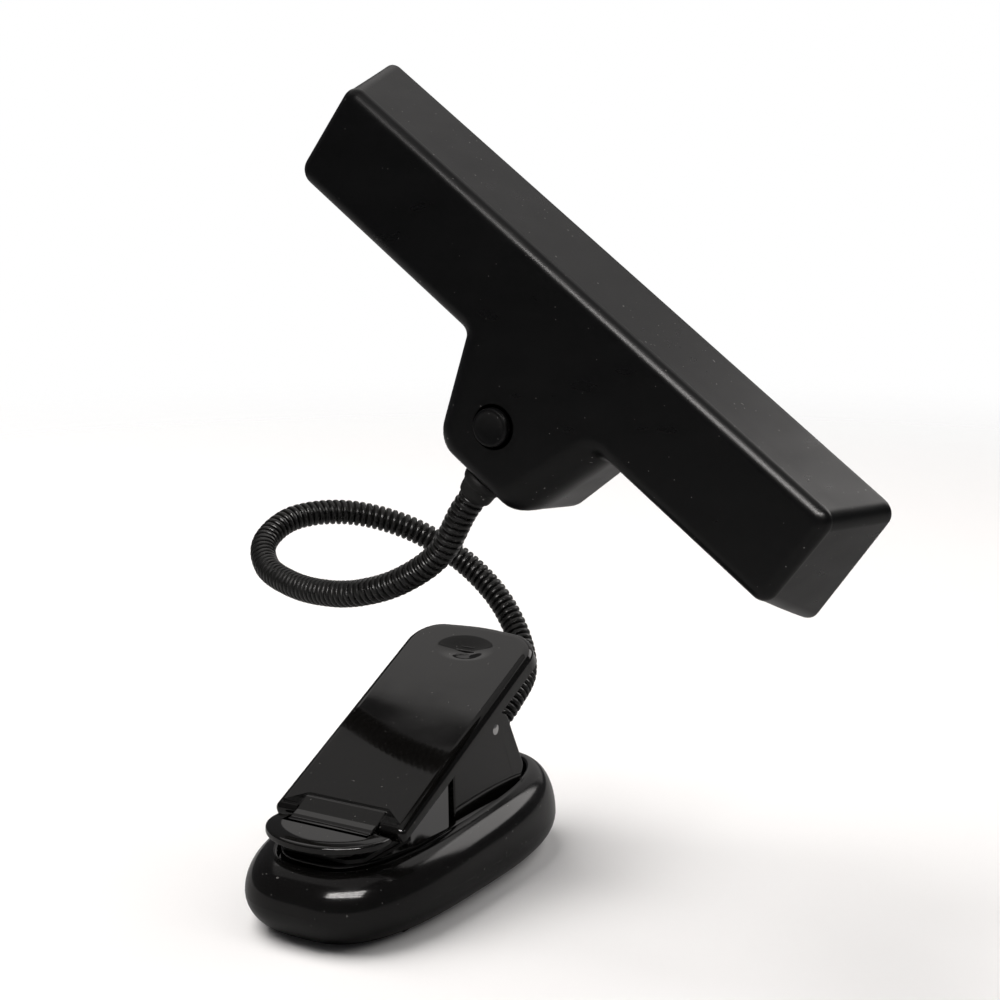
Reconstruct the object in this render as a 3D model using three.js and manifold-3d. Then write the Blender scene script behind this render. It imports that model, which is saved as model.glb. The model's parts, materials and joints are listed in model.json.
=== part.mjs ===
// Clip-on reading lamp: a battery base with a spring clip on top, a gooseneck and a T-shaped LED head.
// Millimetres, +Z up. X runs across the clip, Y runs from the clip's mouth (-Y) to its thumb end (+Y).
// The origin is the middle of the flat underside.
import * as THREE from 'three';
import { mergeVertices } from 'three/addons/utils/BufferGeometryUtils.js';
import Module from 'manifold-3d';

const wasm = await Module();
wasm.setup();

// ---- fits ----
const fitGap = 0.3; // between pieces that lie against each other
const runningGap = 0.05; // radial, shaft in hole
const overcut = 1; // how far a cutter passes the face that it cuts

// ---- base ----
const baseHalfWidth = 25.5;
const baseHalfLength = 50;
const baseExponent = 3; // 2 is an ellipse, larger is squarer
const baseTaper = 0.025; // the rear end is wider by this share, the front end narrower
const baseSeam = 9.2;
const baseHeight = 19.9; // crest of the rim, half way along
const baseRise = 0.045; // the crest climbs to the rear by this slope
const baseWall = 2;
const baseFloor = 2.6;
const footEdge = 9.5; // how far in the flat underside starts
const rimEdge = 6.6; // how far in the crest lies
const rimLip = 0.9; // from the crest in to the recess
const recessFloor = 15.6;
const recessSkin = 2;
const baseSteps = 40;

// ---- batteries and their door ----
const cellRadius = 5.15;
const cellLength = 43.2;
const nubRadius = 1.9;
const nubLength = 1;
const cellPitch = 11;
const cellCount = 3;
const contactThickness = 0.5;
const doorHalfWidth = 17.4;
const doorHalfLength = 28;
const doorThickness = 1.4;
const doorLedge = 1.5;
const doorTab = 3.4; // half width of the tab that takes the door's screw
const doorScrewY = 24.9;
const doorScrewRadius = 0.75;
const doorScrewHead = 1.6;
const doorScrewSink = 0.7; // depth of the recess for its head
const doorGrip = { halfWidth: 6, start: -22, width: 1, depth: 0.5, pitch: 2, count: 3 };

// ---- screws ----
const screwRadius = 1.2;
const screwHeadRadius = 2.6;
const screwHeadHeight = 1.2;
const bossRadius = 3.2;
const bossMeet = 8; // height at which the shells' screw pillars meet
const baseScrewPlaces = { front: -38, rear: 43.4 };

// ---- power inlet, in the rear wall ----
const inletX = -12;
const inletZ = 12.6;
const inletWidth = 8;
const inletHeight = 3.2;
const inletDepth = 6.5;
const inletSink = 1.2; // how far its face lies inside the rear wall
const inletRim = 0.7;

// ---- clip ----
const jawThickness = 3;
const padHalfWidth = 12;
const padFront = -39;
const padRear = -16;
const padThickness = 1.5;
const jawGap = 0.8; // between the two pads with the clip closed
const pivotY = 16.2;
const pivotZ = 37.3;
const pivotRadius = 1.5;
const earOuter = 16.3;
const earThickness = 2;
const earCrown = 5.6;
const earFront = -3.4;
const earRear = 30.5;
const leverAngle = THREE.MathUtils.degToRad(25.3);
const leverHalfWidth = 18.7;
const leverTop = 9.65; // above the pivot, square to the lever
const leverSkin = 2;
const leverRear = 26.4;
const leverSkirt = 2.6; // depth of the side rims below the top face
const leverThumbSkirt = 5.6;
const skirtThickness = 1.7;
const lugThickness = 2;
const lugRadius = 4.2;
const notchHalfWidth = 12;
const notchRear = -41;
const tipPinAlong = -45.5;
const tipPinUp = 7.9;
const tipPinRadius = 0.9;
const prongRadius = 1.9;
const tipHalfWidth = 16.3;
const tipReach = 17.4; // from its pin to its rounded front
const tipThickness = 1.8;
const tipStart = 3; // from its pin to the straight rear edge of the plate

// ---- gooseneck ----
const neckRadius = 3.45;
const neckBore = 1.4;
const leadRadius = 1;
const ballRadius = 2.9;
const neckJoints = 7;
const ballPlay = 0.19; // extra radius of the cup, which keeps the facets apart when the ball turns
const jointRim = 1.15; // from a joint's centre back to the rim that holds its ball
const neckSides = 12;
const neckStart = 11.5; // height of its lower end, inside the base
const socketX = 1;
const socketY = 32.6;
const socketFlange = 5.6;
const socketBarrel = 4.5;

// ---- head ----
const headCentre = [42.4, -4.9, 140.2]; // middle of the back face
const headTilt = THREE.MathUtils.degToRad(36.7);
const headHalfLength = 77;
const headHalfHeight = 13.4;
const headDepth = 25.1; // from the back face to the open side, half way up
const headFlare = 5.6; // how much wider the open side is, all round
const headDrop = 2.7; // how much lower the open side's middle is than the back's
const headLean = 0.2; // slope of the open side, whose lower edge stands further out
const headCorner = 3;
const headWall = 2;
const headEdge = 3; // rounding between the back and the sides
const stubX = 5;
const stubHalfTop = 23;
const stubHalfBottom = 14.9;
const stubFlare = 3.7; // how much wider the stem is at its far side, each way
const stubDrop = 1.6; // how much further down the stem reaches at its far side
const stubReach = 39.8;
const stubDepth = 19;
const collarSeat = 40.4; // how far below the middle the collar's flat face sits
const neckX = 5;
const neckDepth = 7.2;
const collarLength = 6;
const collarRadius = 4.8;
const nutAcross = 8.6;
const nutThickness = 2;
const buttonX = 1.7;
const buttonZ = -26.2;
const buttonRadius = 4.6;
const buttonFlange = 0.9;
const buttonProud = 1.8;
const buttonStem = 4;
const boardHalfLength = 73;
const boardHalfHeight = 8;
const boardStart = 8.6;
const boardThickness = 1.2;
const ledCount = 9;
const ledPitch = 15.6;
const ledRadius = 2.5;
const ledHeight = 7.2;
const lensThickness = 1.6;
const bezelThickness = 1.5;
const bezelWidth = 4.4;
const headScrewX = 70.4;
const headScrewRadius = 1.1;
const headScrewPillar = 2.4;

const finishes = {
  satinBlack: { color: 0x0c0c0d, roughness: 0.42, metalness: 0 },
  glossBlack: { color: 0x060606, roughness: 0.08, metalness: 0 },
  rubber: { color: 0x151515, roughness: 0.85, metalness: 0 },
  blackMetal: { color: 0x101012, roughness: 0.3, metalness: 0.8 },
  chrome: { color: 0xd8d8d8, roughness: 0.12, metalness: 1 },
  spring: { color: 0x9a9a98, roughness: 0.3, metalness: 1 },
  cell: { color: 0x2c6a4a, roughness: 0.35, metalness: 0.1 },
  lens: { color: 0xeef2f4, roughness: 0.15, metalness: 0 },
  white: { color: 0xf0efea, roughness: 0.5, metalness: 0 },
  led: { color: 0xfff6d8, roughness: 0.1, metalness: 0 },
  cable: { color: 0x8a1c1c, roughness: 0.5, metalness: 0 },
};
const materials = Object.fromEntries(
  Object.entries(finishes).map(([name, finish]) => [name, new THREE.MeshStandardMaterial(finish)]),
);

const lamp = new THREE.Group();
const head = new THREE.Group();
head.position.set(...headCentre);
head.rotation.y = headTilt;
lamp.add(head);

// ---- solids ----

// A closed geometry as a solid: shared corners are merged and slivers at a lathe's axis are left out.
function solidOf(geometry) {
  geometry.deleteAttribute('normal');
  geometry.deleteAttribute('uv');
  const merged = mergeVertices(geometry, 1e-4);
  const corners = Array.from(merged.index.array);
  const triangles = [];
  for (let at = 0; at < corners.length; at += 3) {
    const [a, b, c] = corners.slice(at, at + 3);
    if (a !== b && b !== c && c !== a) triangles.push([a, b, c]);
  }
  const inward = signedVolume(merged.attributes.position, triangles) < 0;
  const triVerts = new Uint32Array(triangles.flatMap(([a, b, c]) => (inward ? [a, c, b] : [a, b, c])));
  const vertProperties = new Float32Array(merged.attributes.position.array);
  return new wasm.Manifold(new wasm.Mesh({ numProp: 3, vertProperties, triVerts }));
}

function signedVolume(position, triangles) {
  const [a, b, c] = [new THREE.Vector3(), new THREE.Vector3(), new THREE.Vector3()];
  let volume = 0;
  for (const [first, second, third] of triangles) {
    a.fromBufferAttribute(position, first);
    b.fromBufferAttribute(position, second);
    c.fromBufferAttribute(position, third);
    volume += a.dot(b.cross(c)) / 6;
  }
  return volume;
}

function addPiece(parent, name, solid, material) {
  const { vertProperties, triVerts } = solid.getMesh();
  const geometry = new THREE.BufferGeometry();
  geometry.setAttribute('position', new THREE.BufferAttribute(new Float32Array(vertProperties), 3));
  geometry.setIndex(new THREE.BufferAttribute(new Uint32Array(triVerts), 1));
  geometry.computeVertexNormals();
  const mesh = new THREE.Mesh(geometry, material);
  mesh.name = name;
  parent.add(mesh);
}

// A block between two opposite corners.
function block([x0, y0, z0], [x1, y1, z1]) {
  const geometry = new THREE.BoxGeometry(x1 - x0, y1 - y0, z1 - z0);
  geometry.translate((x0 + x1) / 2, (y0 + y1) / 2, (z0 + z1) / 2);
  return solidOf(geometry);
}

// A round bar from one point to another.
function bar(from, to, radius, sides = 24) {
  const start = new THREE.Vector3(...from);
  const along = new THREE.Vector3(...to).sub(start);
  const geometry = new THREE.CylinderGeometry(radius, radius, along.length(), sides);
  geometry.translate(0, along.length() / 2, 0);
  const upright = new THREE.Vector3(0, 1, 0);
  geometry.applyQuaternion(new THREE.Quaternion().setFromUnitVectors(upright, along.normalize()));
  geometry.translate(start.x, start.y, start.z);
  return solidOf(geometry);
}

// A profile of [radius, height] turned about an upright axis.
function turned(profile, sides = 24) {
  const points = profile.map(([radius, height]) => new THREE.Vector2(radius, height));
  const geometry = new THREE.LatheGeometry(points, sides);
  geometry.rotateX(Math.PI / 2);
  return solidOf(geometry);
}

// A flat outline of [x, y] corners, thickened along Z.
function slab(corners, from, to) {
  const shape = new THREE.Shape(corners.map(([x, y]) => new THREE.Vector2(x, y)));
  const geometry = new THREE.ExtrudeGeometry(shape, { depth: to - from, bevelEnabled: false });
  geometry.translate(0, 0, from);
  return solidOf(geometry);
}

// A side view of [y, z] corners, thickened along X.
function sideSlab(corners, from, to) {
  return slab(corners, from, to).rotate([90, 0, 90]);
}

function arc([x, y], radius, fromDegrees, toDegrees, steps) {
  return Array.from({ length: steps + 1 }, (_, step) => {
    const angle = THREE.MathUtils.degToRad(fromDegrees + ((toDegrees - fromDegrees) * step) / steps);
    return [x + radius * Math.cos(angle), y + radius * Math.sin(angle)];
  });
}

// Outlines for moulded shells: the point at a step round them, a given distance in from the edge.
function ovalOutline(halfWidth, halfLength, exponent, taper, steps) {
  const bend = (value) => Math.sign(value) * Math.abs(value) ** (2 / exponent);
  const point = (step, inset) => {
    const angle = (step / steps) * Math.PI * 2;
    const along = bend(Math.sin(angle));
    return [(halfWidth - inset) * bend(Math.cos(angle)) * (1 + taper * along), (halfLength - inset) * along];
  };
  return { steps, point };
}

function roundedOutline(halfWidth, halfLength, corner, cornerSteps) {
  const point = (step, inset) => {
    const radius = Math.max(corner - Math.max(inset, 0), 0.3);
    const quarter = Math.floor(step / (cornerSteps + 1));
    const angle = ((quarter + (step % (cornerSteps + 1)) / cornerSteps) * Math.PI) / 2;
    const [signX, signY] = [[1, 1], [-1, 1], [-1, -1], [1, -1]][quarter];
    const centreX = signX * (halfWidth - inset - radius);
    const centreY = signY * (halfLength - inset - radius);
    return [centreX + radius * Math.cos(angle), centreY + radius * Math.sin(angle)];
  };
  return { steps: 4 * (cornerSteps + 1), point };
}

// A moulded piece: a profile of [inset, height, rise] carried round an outline. An inset of null is the
// middle of the piece. The rise is how much of the base's slope that height takes.
function moulded(outline, profile) {
  const seed = profile.map(([inset, height]) => new THREE.Vector2(inset === null ? 0 : 1, height));
  const geometry = new THREE.LatheGeometry(seed, outline.steps);
  const position = geometry.attributes.position;
  for (let turn = 0; turn <= outline.steps; turn += 1) {
    profile.forEach(([inset, height, rise = 0], place) => {
      const [x, y] = inset === null ? [0, 0] : outline.point(turn % outline.steps, inset);
      position.setXYZ(turn * profile.length + place, x, y, height + rise * baseRise * y);
    });
  }
  return solidOf(geometry);
}

// ---- base ----

const baseOutline = ovalOutline(baseHalfWidth, baseHalfLength, baseExponent, baseTaper, baseSteps);
const jawTop = recessFloor + fitGap + jawThickness;

function screwHole(y, z) {
  return bar([0, y, -overcut], [0, y, z], screwRadius + runningGap);
}

function lowerShell() {
  const roundSteps = 4;
  const outer = Array.from({ length: roundSteps + 1 }, (_, step) => {
    const angle = ((step / roundSteps) * Math.PI) / 2;
    return [footEdge * (1 - Math.sin(angle)), baseSeam * (1 - Math.cos(angle))];
  });
  const inner = [
    [baseWall, baseSeam], [baseWall + 1, baseSeam / 2], [footEdge, baseFloor], [null, baseFloor],
  ];
  let shell = moulded(baseOutline, [[null, 0], ...outer, ...inner]);
  const [halfX, halfY] = [doorHalfWidth + fitGap, doorHalfLength + fitGap];
  shell = shell.subtract(block([-halfX, -halfY, -overcut], [halfX, halfY, doorThickness]));
  const [innerX, innerY] = [doorHalfWidth - doorLedge, doorHalfLength - doorLedge];
  shell = shell.subtract(block([-innerX, -innerY, 0], [innerX, innerY, baseFloor + overcut]));
  for (const y of Object.values(baseScrewPlaces)) {
    shell = shell.add(bar([0, y, baseFloor / 2], [0, y, bossMeet], bossRadius));
    shell = shell.subtract(screwHole(y, bossMeet + overcut));
    shell = shell.subtract(bar([0, y, -overcut], [0, y, screwHeadHeight + fitGap], screwHeadRadius + fitGap));
  }
  shell = shell.add(block([-doorTab, doorScrewY - 2, doorThickness], [doorTab, doorHalfLength, baseFloor]));
  const thread = doorScrewRadius + runningGap;
  return shell.subtract(bar([0, doorScrewY, 0], [0, doorScrewY, baseFloor + overcut], thread, 12));
}

function upperShell() {
  const roundSteps = 5;
  const seam = baseSeam + fitGap;
  const outer = Array.from({ length: roundSteps + 1 }, (_, step) => {
    const angle = ((step / roundSteps) * Math.PI) / 2;
    const share = Math.sin(angle);
    return [rimEdge * (1 - Math.cos(angle)), seam + (baseHeight - seam) * share, share];
  });
  const recess = rimEdge + rimLip;
  let shell = moulded(baseOutline, [
    [null, recessFloor - recessSkin], [recess + 1, recessFloor - recessSkin], [baseWall + 1.6, seam + 4.6],
    [baseWall, seam], ...outer, [rimEdge + rimLip * 0.6, baseHeight - 0.5, 1], [recess, recessFloor],
    [null, recessFloor],
  ]);
  for (const y of Object.values(baseScrewPlaces)) {
    const boss = bar([0, y, bossMeet + fitGap], [0, y, recessFloor - recessSkin / 2], bossRadius);
    shell = shell.add(boss).subtract(screwHole(y, recessFloor - recessSkin));
  }
  const socket = [socketX, socketY, recessFloor - recessSkin - overcut];
  const mouth = [socketX, socketY, recessFloor + overcut];
  shell = shell.subtract(bar(socket, mouth, socketBarrel + fitGap));
  return shell.subtract(inletBlock(fitGap, overcut * 3));
}

// The inlet's body, or the hole for it when it is given a margin.
function inletBlock(margin, past) {
  const rear = rearWallAt(inletX) - inletSink;
  const [halfX, halfZ] = [inletWidth / 2 + margin, inletHeight / 2 + margin];
  const low = [inletX - halfX, rear - inletDepth - margin, inletZ - halfZ];
  return block(low, [inletX + halfX, rear + past, inletZ + halfZ]);
}

function rearWallAt(x) {
  return baseHalfLength * (1 - (Math.abs(x) / baseHalfWidth) ** baseExponent) ** (1 / baseExponent);
}

function powerInlet() {
  const rear = rearWallAt(inletX) - inletSink;
  const [halfX, halfZ] = [inletWidth / 2 - inletRim, inletHeight / 2 - inletRim];
  const mouth = block(
    [inletX - halfX, rear - inletDepth * 0.7, inletZ - halfZ],
    [inletX + halfX, rear + overcut, inletZ + halfZ],
  );
  return inletBlock(0, 0).subtract(mouth);
}

function batteryDoor() {
  const top = doorThickness - fitGap / 3;
  let door = block([-doorHalfWidth, -doorHalfLength, 0], [doorHalfWidth, doorHalfLength, top]);
  for (let ridge = 0; ridge < doorGrip.count; ridge += 1) {
    const y = doorGrip.start + ridge * doorGrip.pitch;
    const far = [doorGrip.halfWidth, y + doorGrip.width, doorGrip.depth];
    door = door.subtract(block([-doorGrip.halfWidth, y, -overcut], far));
  }
  const [below, above] = [[0, doorScrewY, -overcut], [0, doorScrewY, doorThickness + overcut]];
  door = door.subtract(bar(below, above, doorScrewRadius + runningGap, 12));
  return door.subtract(bar(below, [0, doorScrewY, doorScrewSink], doorScrewHead + runningGap, 16));
}

function doorScrew() {
  return turned([
    [0, fitGap / 2], [doorScrewHead, fitGap / 2], [doorScrewHead, doorScrewSink],
    [doorScrewRadius, doorScrewSink], [doorScrewRadius, baseFloor + fitGap], [0, baseFloor + 2 * fitGap],
  ], 16).translate([0, doorScrewY, 0]);
}

function addBase() {
  addPiece(lamp, 'base_lower_shell', lowerShell(), materials.satinBlack);
  addPiece(lamp, 'base_upper_shell', upperShell(), materials.satinBlack);
  addPiece(lamp, 'battery_door', batteryDoor(), materials.satinBlack);
  addPiece(lamp, 'battery_door_screw', doorScrew(), materials.chrome);
  addPiece(lamp, 'power_inlet', powerInlet(), materials.chrome);
  const screwTip = recessFloor - recessSkin - 1;
  for (const [place, y] of Object.entries(baseScrewPlaces)) {
    const screw = turned([
      [0, fitGap / 2], [screwHeadRadius, fitGap / 2], [screwHeadRadius, screwHeadHeight],
      [screwRadius, screwHeadHeight], [screwRadius, screwTip - 1], [0, screwTip],
    ], 16);
    addPiece(lamp, `base_screw_${place}`, screw.translate([0, y, 0]), materials.chrome);
  }
}

function addBatteries() {
  const cellZ = baseFloor + fitGap + cellRadius;
  const half = (cellLength + nubLength) / 2;
  const cell = turned([
    [0, -half], [cellRadius - 0.6, -half], [cellRadius, -half + 0.6], [cellRadius, half - nubLength - 0.6],
    [cellRadius - 0.6, half - nubLength], [nubRadius, half - nubLength], [nubRadius, half], [0, half],
  ], 16);
  for (let number = 1; number <= cellCount; number += 1) {
    const facing = number % 2 ? 90 : -90;
    const x = (number - (cellCount + 1) / 2) * cellPitch;
    addPiece(lamp, `battery_${number}`, cell.rotate([facing, 0, 0]).translate([x, 0, cellZ]), materials.cell);
  }
  const contactHalf = (cellPitch * cellCount) / 2 - 3 * fitGap;
  for (const [place, side] of [['front', -1], ['rear', 1]]) {
    const near = side * (half + fitGap);
    const far = side * (half + fitGap + contactThickness);
    const low = [-contactHalf, Math.min(near, far), baseFloor + fitGap];
    const high = [contactHalf, Math.max(near, far), baseFloor + fitGap + cellRadius * 1.7];
    addPiece(lamp, `battery_contact_${place}`, block(low, high), materials.chrome);
  }
}

// ---- clip ----

// A point beside the pivot, measured along the lever and square to it, as [y, z].
function leverPoint([along, up]) {
  const y = pivotY + along * Math.cos(leverAngle) - up * Math.sin(leverAngle);
  return [y, pivotZ + along * Math.sin(leverAngle) + up * Math.cos(leverAngle)];
}

function leverSlab(corners, from, to) {
  return sideSlab(corners.map(leverPoint), from, to);
}

function lowerJaw() {
  const inset = rimEdge + rimLip + 2 * fitGap;
  const outline = Array.from({ length: baseSteps }, (_, step) => baseOutline.point(step, inset));
  const plate = slab(outline, recessFloor + fitGap, jawTop);
  const foot = jawTop - jawThickness / 2;
  const side = [
    [earFront, foot], [earRear - 3.5, foot], [earRear - 3, jawTop + 3.4], [earRear, jawTop + 5],
    ...arc([pivotY, pivotZ], earCrown, 15, 105, 6), [earFront - 0.4, pivotZ - 3.1],
  ];
  const [socketLow, socketHigh] = [[socketX, socketY, recessFloor], [socketX, socketY, jawTop + overcut]];
  const socketHole = bar(socketLow, socketHigh, socketFlange + fitGap);
  const reach = earOuter + overcut;
  const pinHole = bar([-reach, pivotY, pivotZ], [reach, pivotY, pivotZ], pivotRadius + runningGap);
  const right = sideSlab(side, earOuter - earThickness, earOuter);
  const left = sideSlab(side, -earOuter, earThickness - earOuter);
  return plate.add(right).add(left).subtract(socketHole).subtract(pinHole);
}

function lowerPad() {
  const wide = padHalfWidth;
  return slab([
    [2 - wide, padFront], [wide - 2, padFront], [wide, padFront + 3], [wide, padRear], [-wide, padRear],
    [-wide, padFront + 3],
  ], jawTop, jawTop + padThickness);
}

const tipPin = leverPoint([tipPinAlong, tipPinUp]);
const upperPadBottom = jawTop + padThickness + jawGap;

function lever() {
  const front = arc([tipPinAlong, tipPinUp], prongRadius, 90, 225, 6).reverse();
  const under = leverTop - leverSkirt;
  const thumbUnder = leverTop - leverThumbSkirt;
  const side = [
    ...front.slice(1), [tipPinAlong, leverTop], [leverRear - 5, leverTop], [leverRear - 1.5, leverTop - 0.8],
    [leverRear, leverTop - 3], [leverRear - 2, thumbUnder], [leverRear - 6, thumbUnder],
    [leverRear - 20, under], [tipPinAlong + 4, under],
  ];
  const roof = leverTop - leverSkin;
  const hollow = [
    [tipPinAlong + 3, under - overcut * 6], [tipPinAlong + 3, roof], [leverRear - 5, roof],
    [leverRear - 2, roof - 1.6], [leverRear - 2, under - overcut * 6],
  ];
  const inside = leverHalfWidth - skirtThickness;
  let body = leverSlab(side, -leverHalfWidth, leverHalfWidth).subtract(leverSlab(hollow, -inside, inside));
  body = body.intersect(leverPlan());
  const lugTop = leverTop - leverSkin / 2;
  const lugRoot = lugRadius + 3;
  const lugSide = [...arc([0, 0], lugRadius, 180, 360, 10), [lugRoot, lugTop], [-lugRoot, lugTop]];
  const lugOuter = earOuter - earThickness - fitGap;
  body = body.add(leverSlab(lugSide, lugOuter - lugThickness, lugOuter));
  body = body.add(leverSlab(lugSide, -lugOuter, lugThickness - lugOuter));
  const [notchFront, notchTop] = [tipPinAlong - 8, leverTop + 5];
  const notch = [
    [notchRear, -notchTop], [notchRear, notchTop], [notchFront, notchTop], [notchFront, -notchTop],
  ];
  body = body.subtract(leverSlab(notch, -notchHalfWidth, notchHalfWidth));
  const [pinY, pinZ] = tipPin;
  const reach = leverHalfWidth + overcut;
  body = body.subtract(bar([-reach, pinY, pinZ], [reach, pinY, pinZ], tipPinRadius + runningGap, 16));
  body = body.subtract(bar([-reach, pivotY, pivotZ], [reach, pivotY, pivotZ], pivotRadius + runningGap));
  return body.subtract(thumbRecess());
}

// The lever seen from above, standing square to its top face.
function leverPlan() {
  const corner = 9;
  const end = leverRear - corner;
  const wide = leverHalfWidth - corner;
  const plan = [
    [-leverHalfWidth, tipPinAlong - 6], [leverHalfWidth, tipPinAlong - 6],
    ...arc([wide, end], corner, 0, 90, 6), ...arc([-wide, end], corner, 90, 180, 6),
  ];
  const cutter = slab(plan, -leverTop, leverTop + overcut);
  return cutter.rotate([THREE.MathUtils.radToDeg(leverAngle), 0, 0]).translate([0, pivotY, pivotZ]);
}

function thumbRecess() {
  const bowl = new THREE.SphereGeometry(1, 24, 12);
  bowl.scale(7.6, 4.6, 1.1);
  bowl.translate(0, 17.4, leverTop);
  bowl.rotateX(leverAngle);
  bowl.translate(0, pivotY, pivotZ);
  return solidOf(bowl);
}

function jawTip() {
  const [pinY, pinZ] = tipPin;
  const bottom = upperPadBottom + padThickness;
  const edge = pinY - tipStart;
  const depth = tipReach - tipStart;
  const straight = 1.5; // the plate's sides before its front starts to curve
  const round = arc([0, 0], 1, 180, 360, 16)
    .map(([x, y]) => [x * tipHalfWidth, edge - straight + y * (depth - straight)]);
  const plate = slab([...round, [tipHalfWidth, edge], [-tipHalfWidth, edge]], bottom, bottom + tipThickness);
  const wide = notchHalfWidth - fitGap;
  const knuckle = bar([-wide, pinY, pinZ], [wide, pinY, pinZ], prongRadius, 20);
  const web = sideSlab([
    [edge - 1, bottom], [pinY + 1.6, bottom], [pinY + 1.6, pinZ], [pinY - 1.2, pinZ + 1.4],
    [edge - 1, bottom + tipThickness],
  ], -wide, wide);
  const reach = wide + overcut;
  const hole = bar([-reach, pinY, pinZ], [reach, pinY, pinZ], tipPinRadius + runningGap, 16);
  return plate.add(web).add(knuckle).subtract(hole);
}

function upperPad() {
  const [pinY] = tipPin;
  const wide = padHalfWidth - 1;
  const [front, rear] = [pinY - tipReach + 3, pinY + 1.6];
  return slab([
    [-wide, front + 3], [-wide + 3, front], [wide - 3, front], [wide, front + 3], [wide, rear], [-wide, rear],
  ], upperPadBottom, upperPadBottom + padThickness);
}

// The torsion spring's envelope: a coil round the pivot, with one leg on the jaw and one under the lever.
function clipSpring() {
  const coilRadius = 4.2;
  const wire = 1.3;
  const half = 8;
  const coil = bar([-half, pivotY, pivotZ], [half, pivotY, pivotZ], coilRadius, 20);
  const core = bar([-half - 1, pivotY, pivotZ], [half + 1, pivotY, pivotZ], coilRadius - wire, 20);
  const legTop = pivotZ - coilRadius;
  const lowLeg = sideSlab([
    [pivotY + 3.4, legTop + 1.6], [pivotY + 2.5, legTop + 2.5], [pivotY - 13.9, jawTop + fitGap],
    [pivotY - 12.1, jawTop + fitGap],
  ], -half, wire - half);
  const underRoof = leverTop - leverSkin - fitGap;
  const highLeg = leverSlab([
    [2, coilRadius - wire], [2, coilRadius], [15, underRoof], [15, underRoof - wire],
  ], half - wire, half);
  return coil.add(lowLeg).add(highLeg).subtract(core);
}

function addClip() {
  addPiece(lamp, 'clip_lower_jaw', lowerJaw(), materials.glossBlack);
  addPiece(lamp, 'lower_grip_pad', lowerPad(), materials.rubber);
  addPiece(lamp, 'clip_lever', lever(), materials.glossBlack);
  addPiece(lamp, 'jaw_tip', jawTip(), materials.glossBlack);
  addPiece(lamp, 'upper_grip_pad', upperPad(), materials.rubber);
  const pinReach = earOuter + 0.3;
  const pivot = bar([-pinReach, pivotY, pivotZ], [pinReach, pivotY, pivotZ], pivotRadius);
  addPiece(lamp, 'clip_pivot_pin', pivot, materials.chrome);
  const [pinY, pinZ] = tipPin;
  const tipReachX = leverHalfWidth - 0.2;
  const pin = bar([-tipReachX, pinY, pinZ], [tipReachX, pinY, pinZ], tipPinRadius, 16);
  addPiece(lamp, 'jaw_tip_pin', pin, materials.chrome);
  addPiece(lamp, 'clip_spring', clipSpring(), materials.spring);
}

// ---- gooseneck ----

// A point of the head's own frame, where x runs along the bar, y out of its lit side and z up its back.
function headPoint(x, y, z) {
  const point = new THREE.Vector3(x, y, z).applyAxisAngle(new THREE.Vector3(0, 1, 0), headTilt);
  return point.add(new THREE.Vector3(...headCentre));
}

const neckRoute = new THREE.CatmullRomCurve3([
  new THREE.Vector3(socketX, socketY, neckStart),
  new THREE.Vector3(socketX, socketY, 20),
  new THREE.Vector3(2.4, 35.4, 28),
  new THREE.Vector3(4, 44.5, 35.6),
  new THREE.Vector3(2.4, 54.5, 40.4),
  new THREE.Vector3(-3.4, 62, 47.2),
  new THREE.Vector3(-13, 66.2, 57.4),
  new THREE.Vector3(-26, 66.6, 67),
  new THREE.Vector3(-40.5, 61.6, 75.2),
  new THREE.Vector3(-54.5, 51.6, 79.6),
  new THREE.Vector3(-63.2, 38.5, 79),
  new THREE.Vector3(-63.6, 27, 74.6),
  new THREE.Vector3(-56.4, 18.4, 70.4),
  new THREE.Vector3(-44, 12, 68.6),
  new THREE.Vector3(-30, 6.8, 69),
  new THREE.Vector3(-16, 3.2, 71.4),
  new THREE.Vector3(-3, 2.6, 76.2),
  new THREE.Vector3(8, 3.4, 84.2),
  headPoint(neckX, neckDepth, -collarSeat - collarLength - 5),
  headPoint(neckX, neckDepth, -collarSeat - collarLength),
  headPoint(neckX, neckDepth, -stubReach + headWall + nutThickness + 0.5),
], false, 'centripetal');
neckRoute.arcLengthDivisions = 800;

export const neckLength = neckRoute.getLength();
const firstJoint = 22;
const lastJoint = neckLength - 23.2;

// Where each joint lies along the neck.
export const jointPlaces = Array.from(
  { length: neckJoints },
  (_, number) => firstJoint + ((lastJoint - firstJoint) * number) / (neckJoints - 1),
);

export function neckAt(place) {
  return neckRoute.getPointAt(place / neckLength);
}

// The stretch of the route between two places, run on straight past its ends.
class Stretch extends THREE.Curve {
  constructor(from, to) {
    super();
    this.from = from;
    this.to = to;
  }

  getPoint(share, target = new THREE.Vector3()) {
    const place = this.from + (this.to - this.from) * share;
    const inside = THREE.MathUtils.clamp(place, 0, neckLength);
    const tangent = neckRoute.getTangentAt(inside / neckLength);
    return target.copy(neckAt(inside)).addScaledVector(tangent, place - inside);
  }
}

function tube(from, to, radius, sides, stepLength) {
  const corners = arc([0, 0], radius, 0, 360 - 360 / sides, sides - 1);
  const ring = new THREE.Shape(corners.map(([x, y]) => new THREE.Vector2(x, y)));
  const steps = Math.max(1, Math.round((to - from) / stepLength));
  const extrudePath = new Stretch(from, to);
  return solidOf(new THREE.ExtrudeGeometry(ring, { steps, extrudePath, bevelEnabled: false }));
}

function ball(place, radius) {
  const geometry = new THREE.SphereGeometry(radius, 12, 8);
  const tangent = neckRoute.getTangentAt(place / neckLength);
  geometry.applyQuaternion(new THREE.Quaternion().setFromUnitVectors(new THREE.Vector3(0, 1, 0), tangent));
  const centre = neckAt(place);
  geometry.translate(centre.x, centre.y, centre.z);
  return solidOf(geometry);
}

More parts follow.
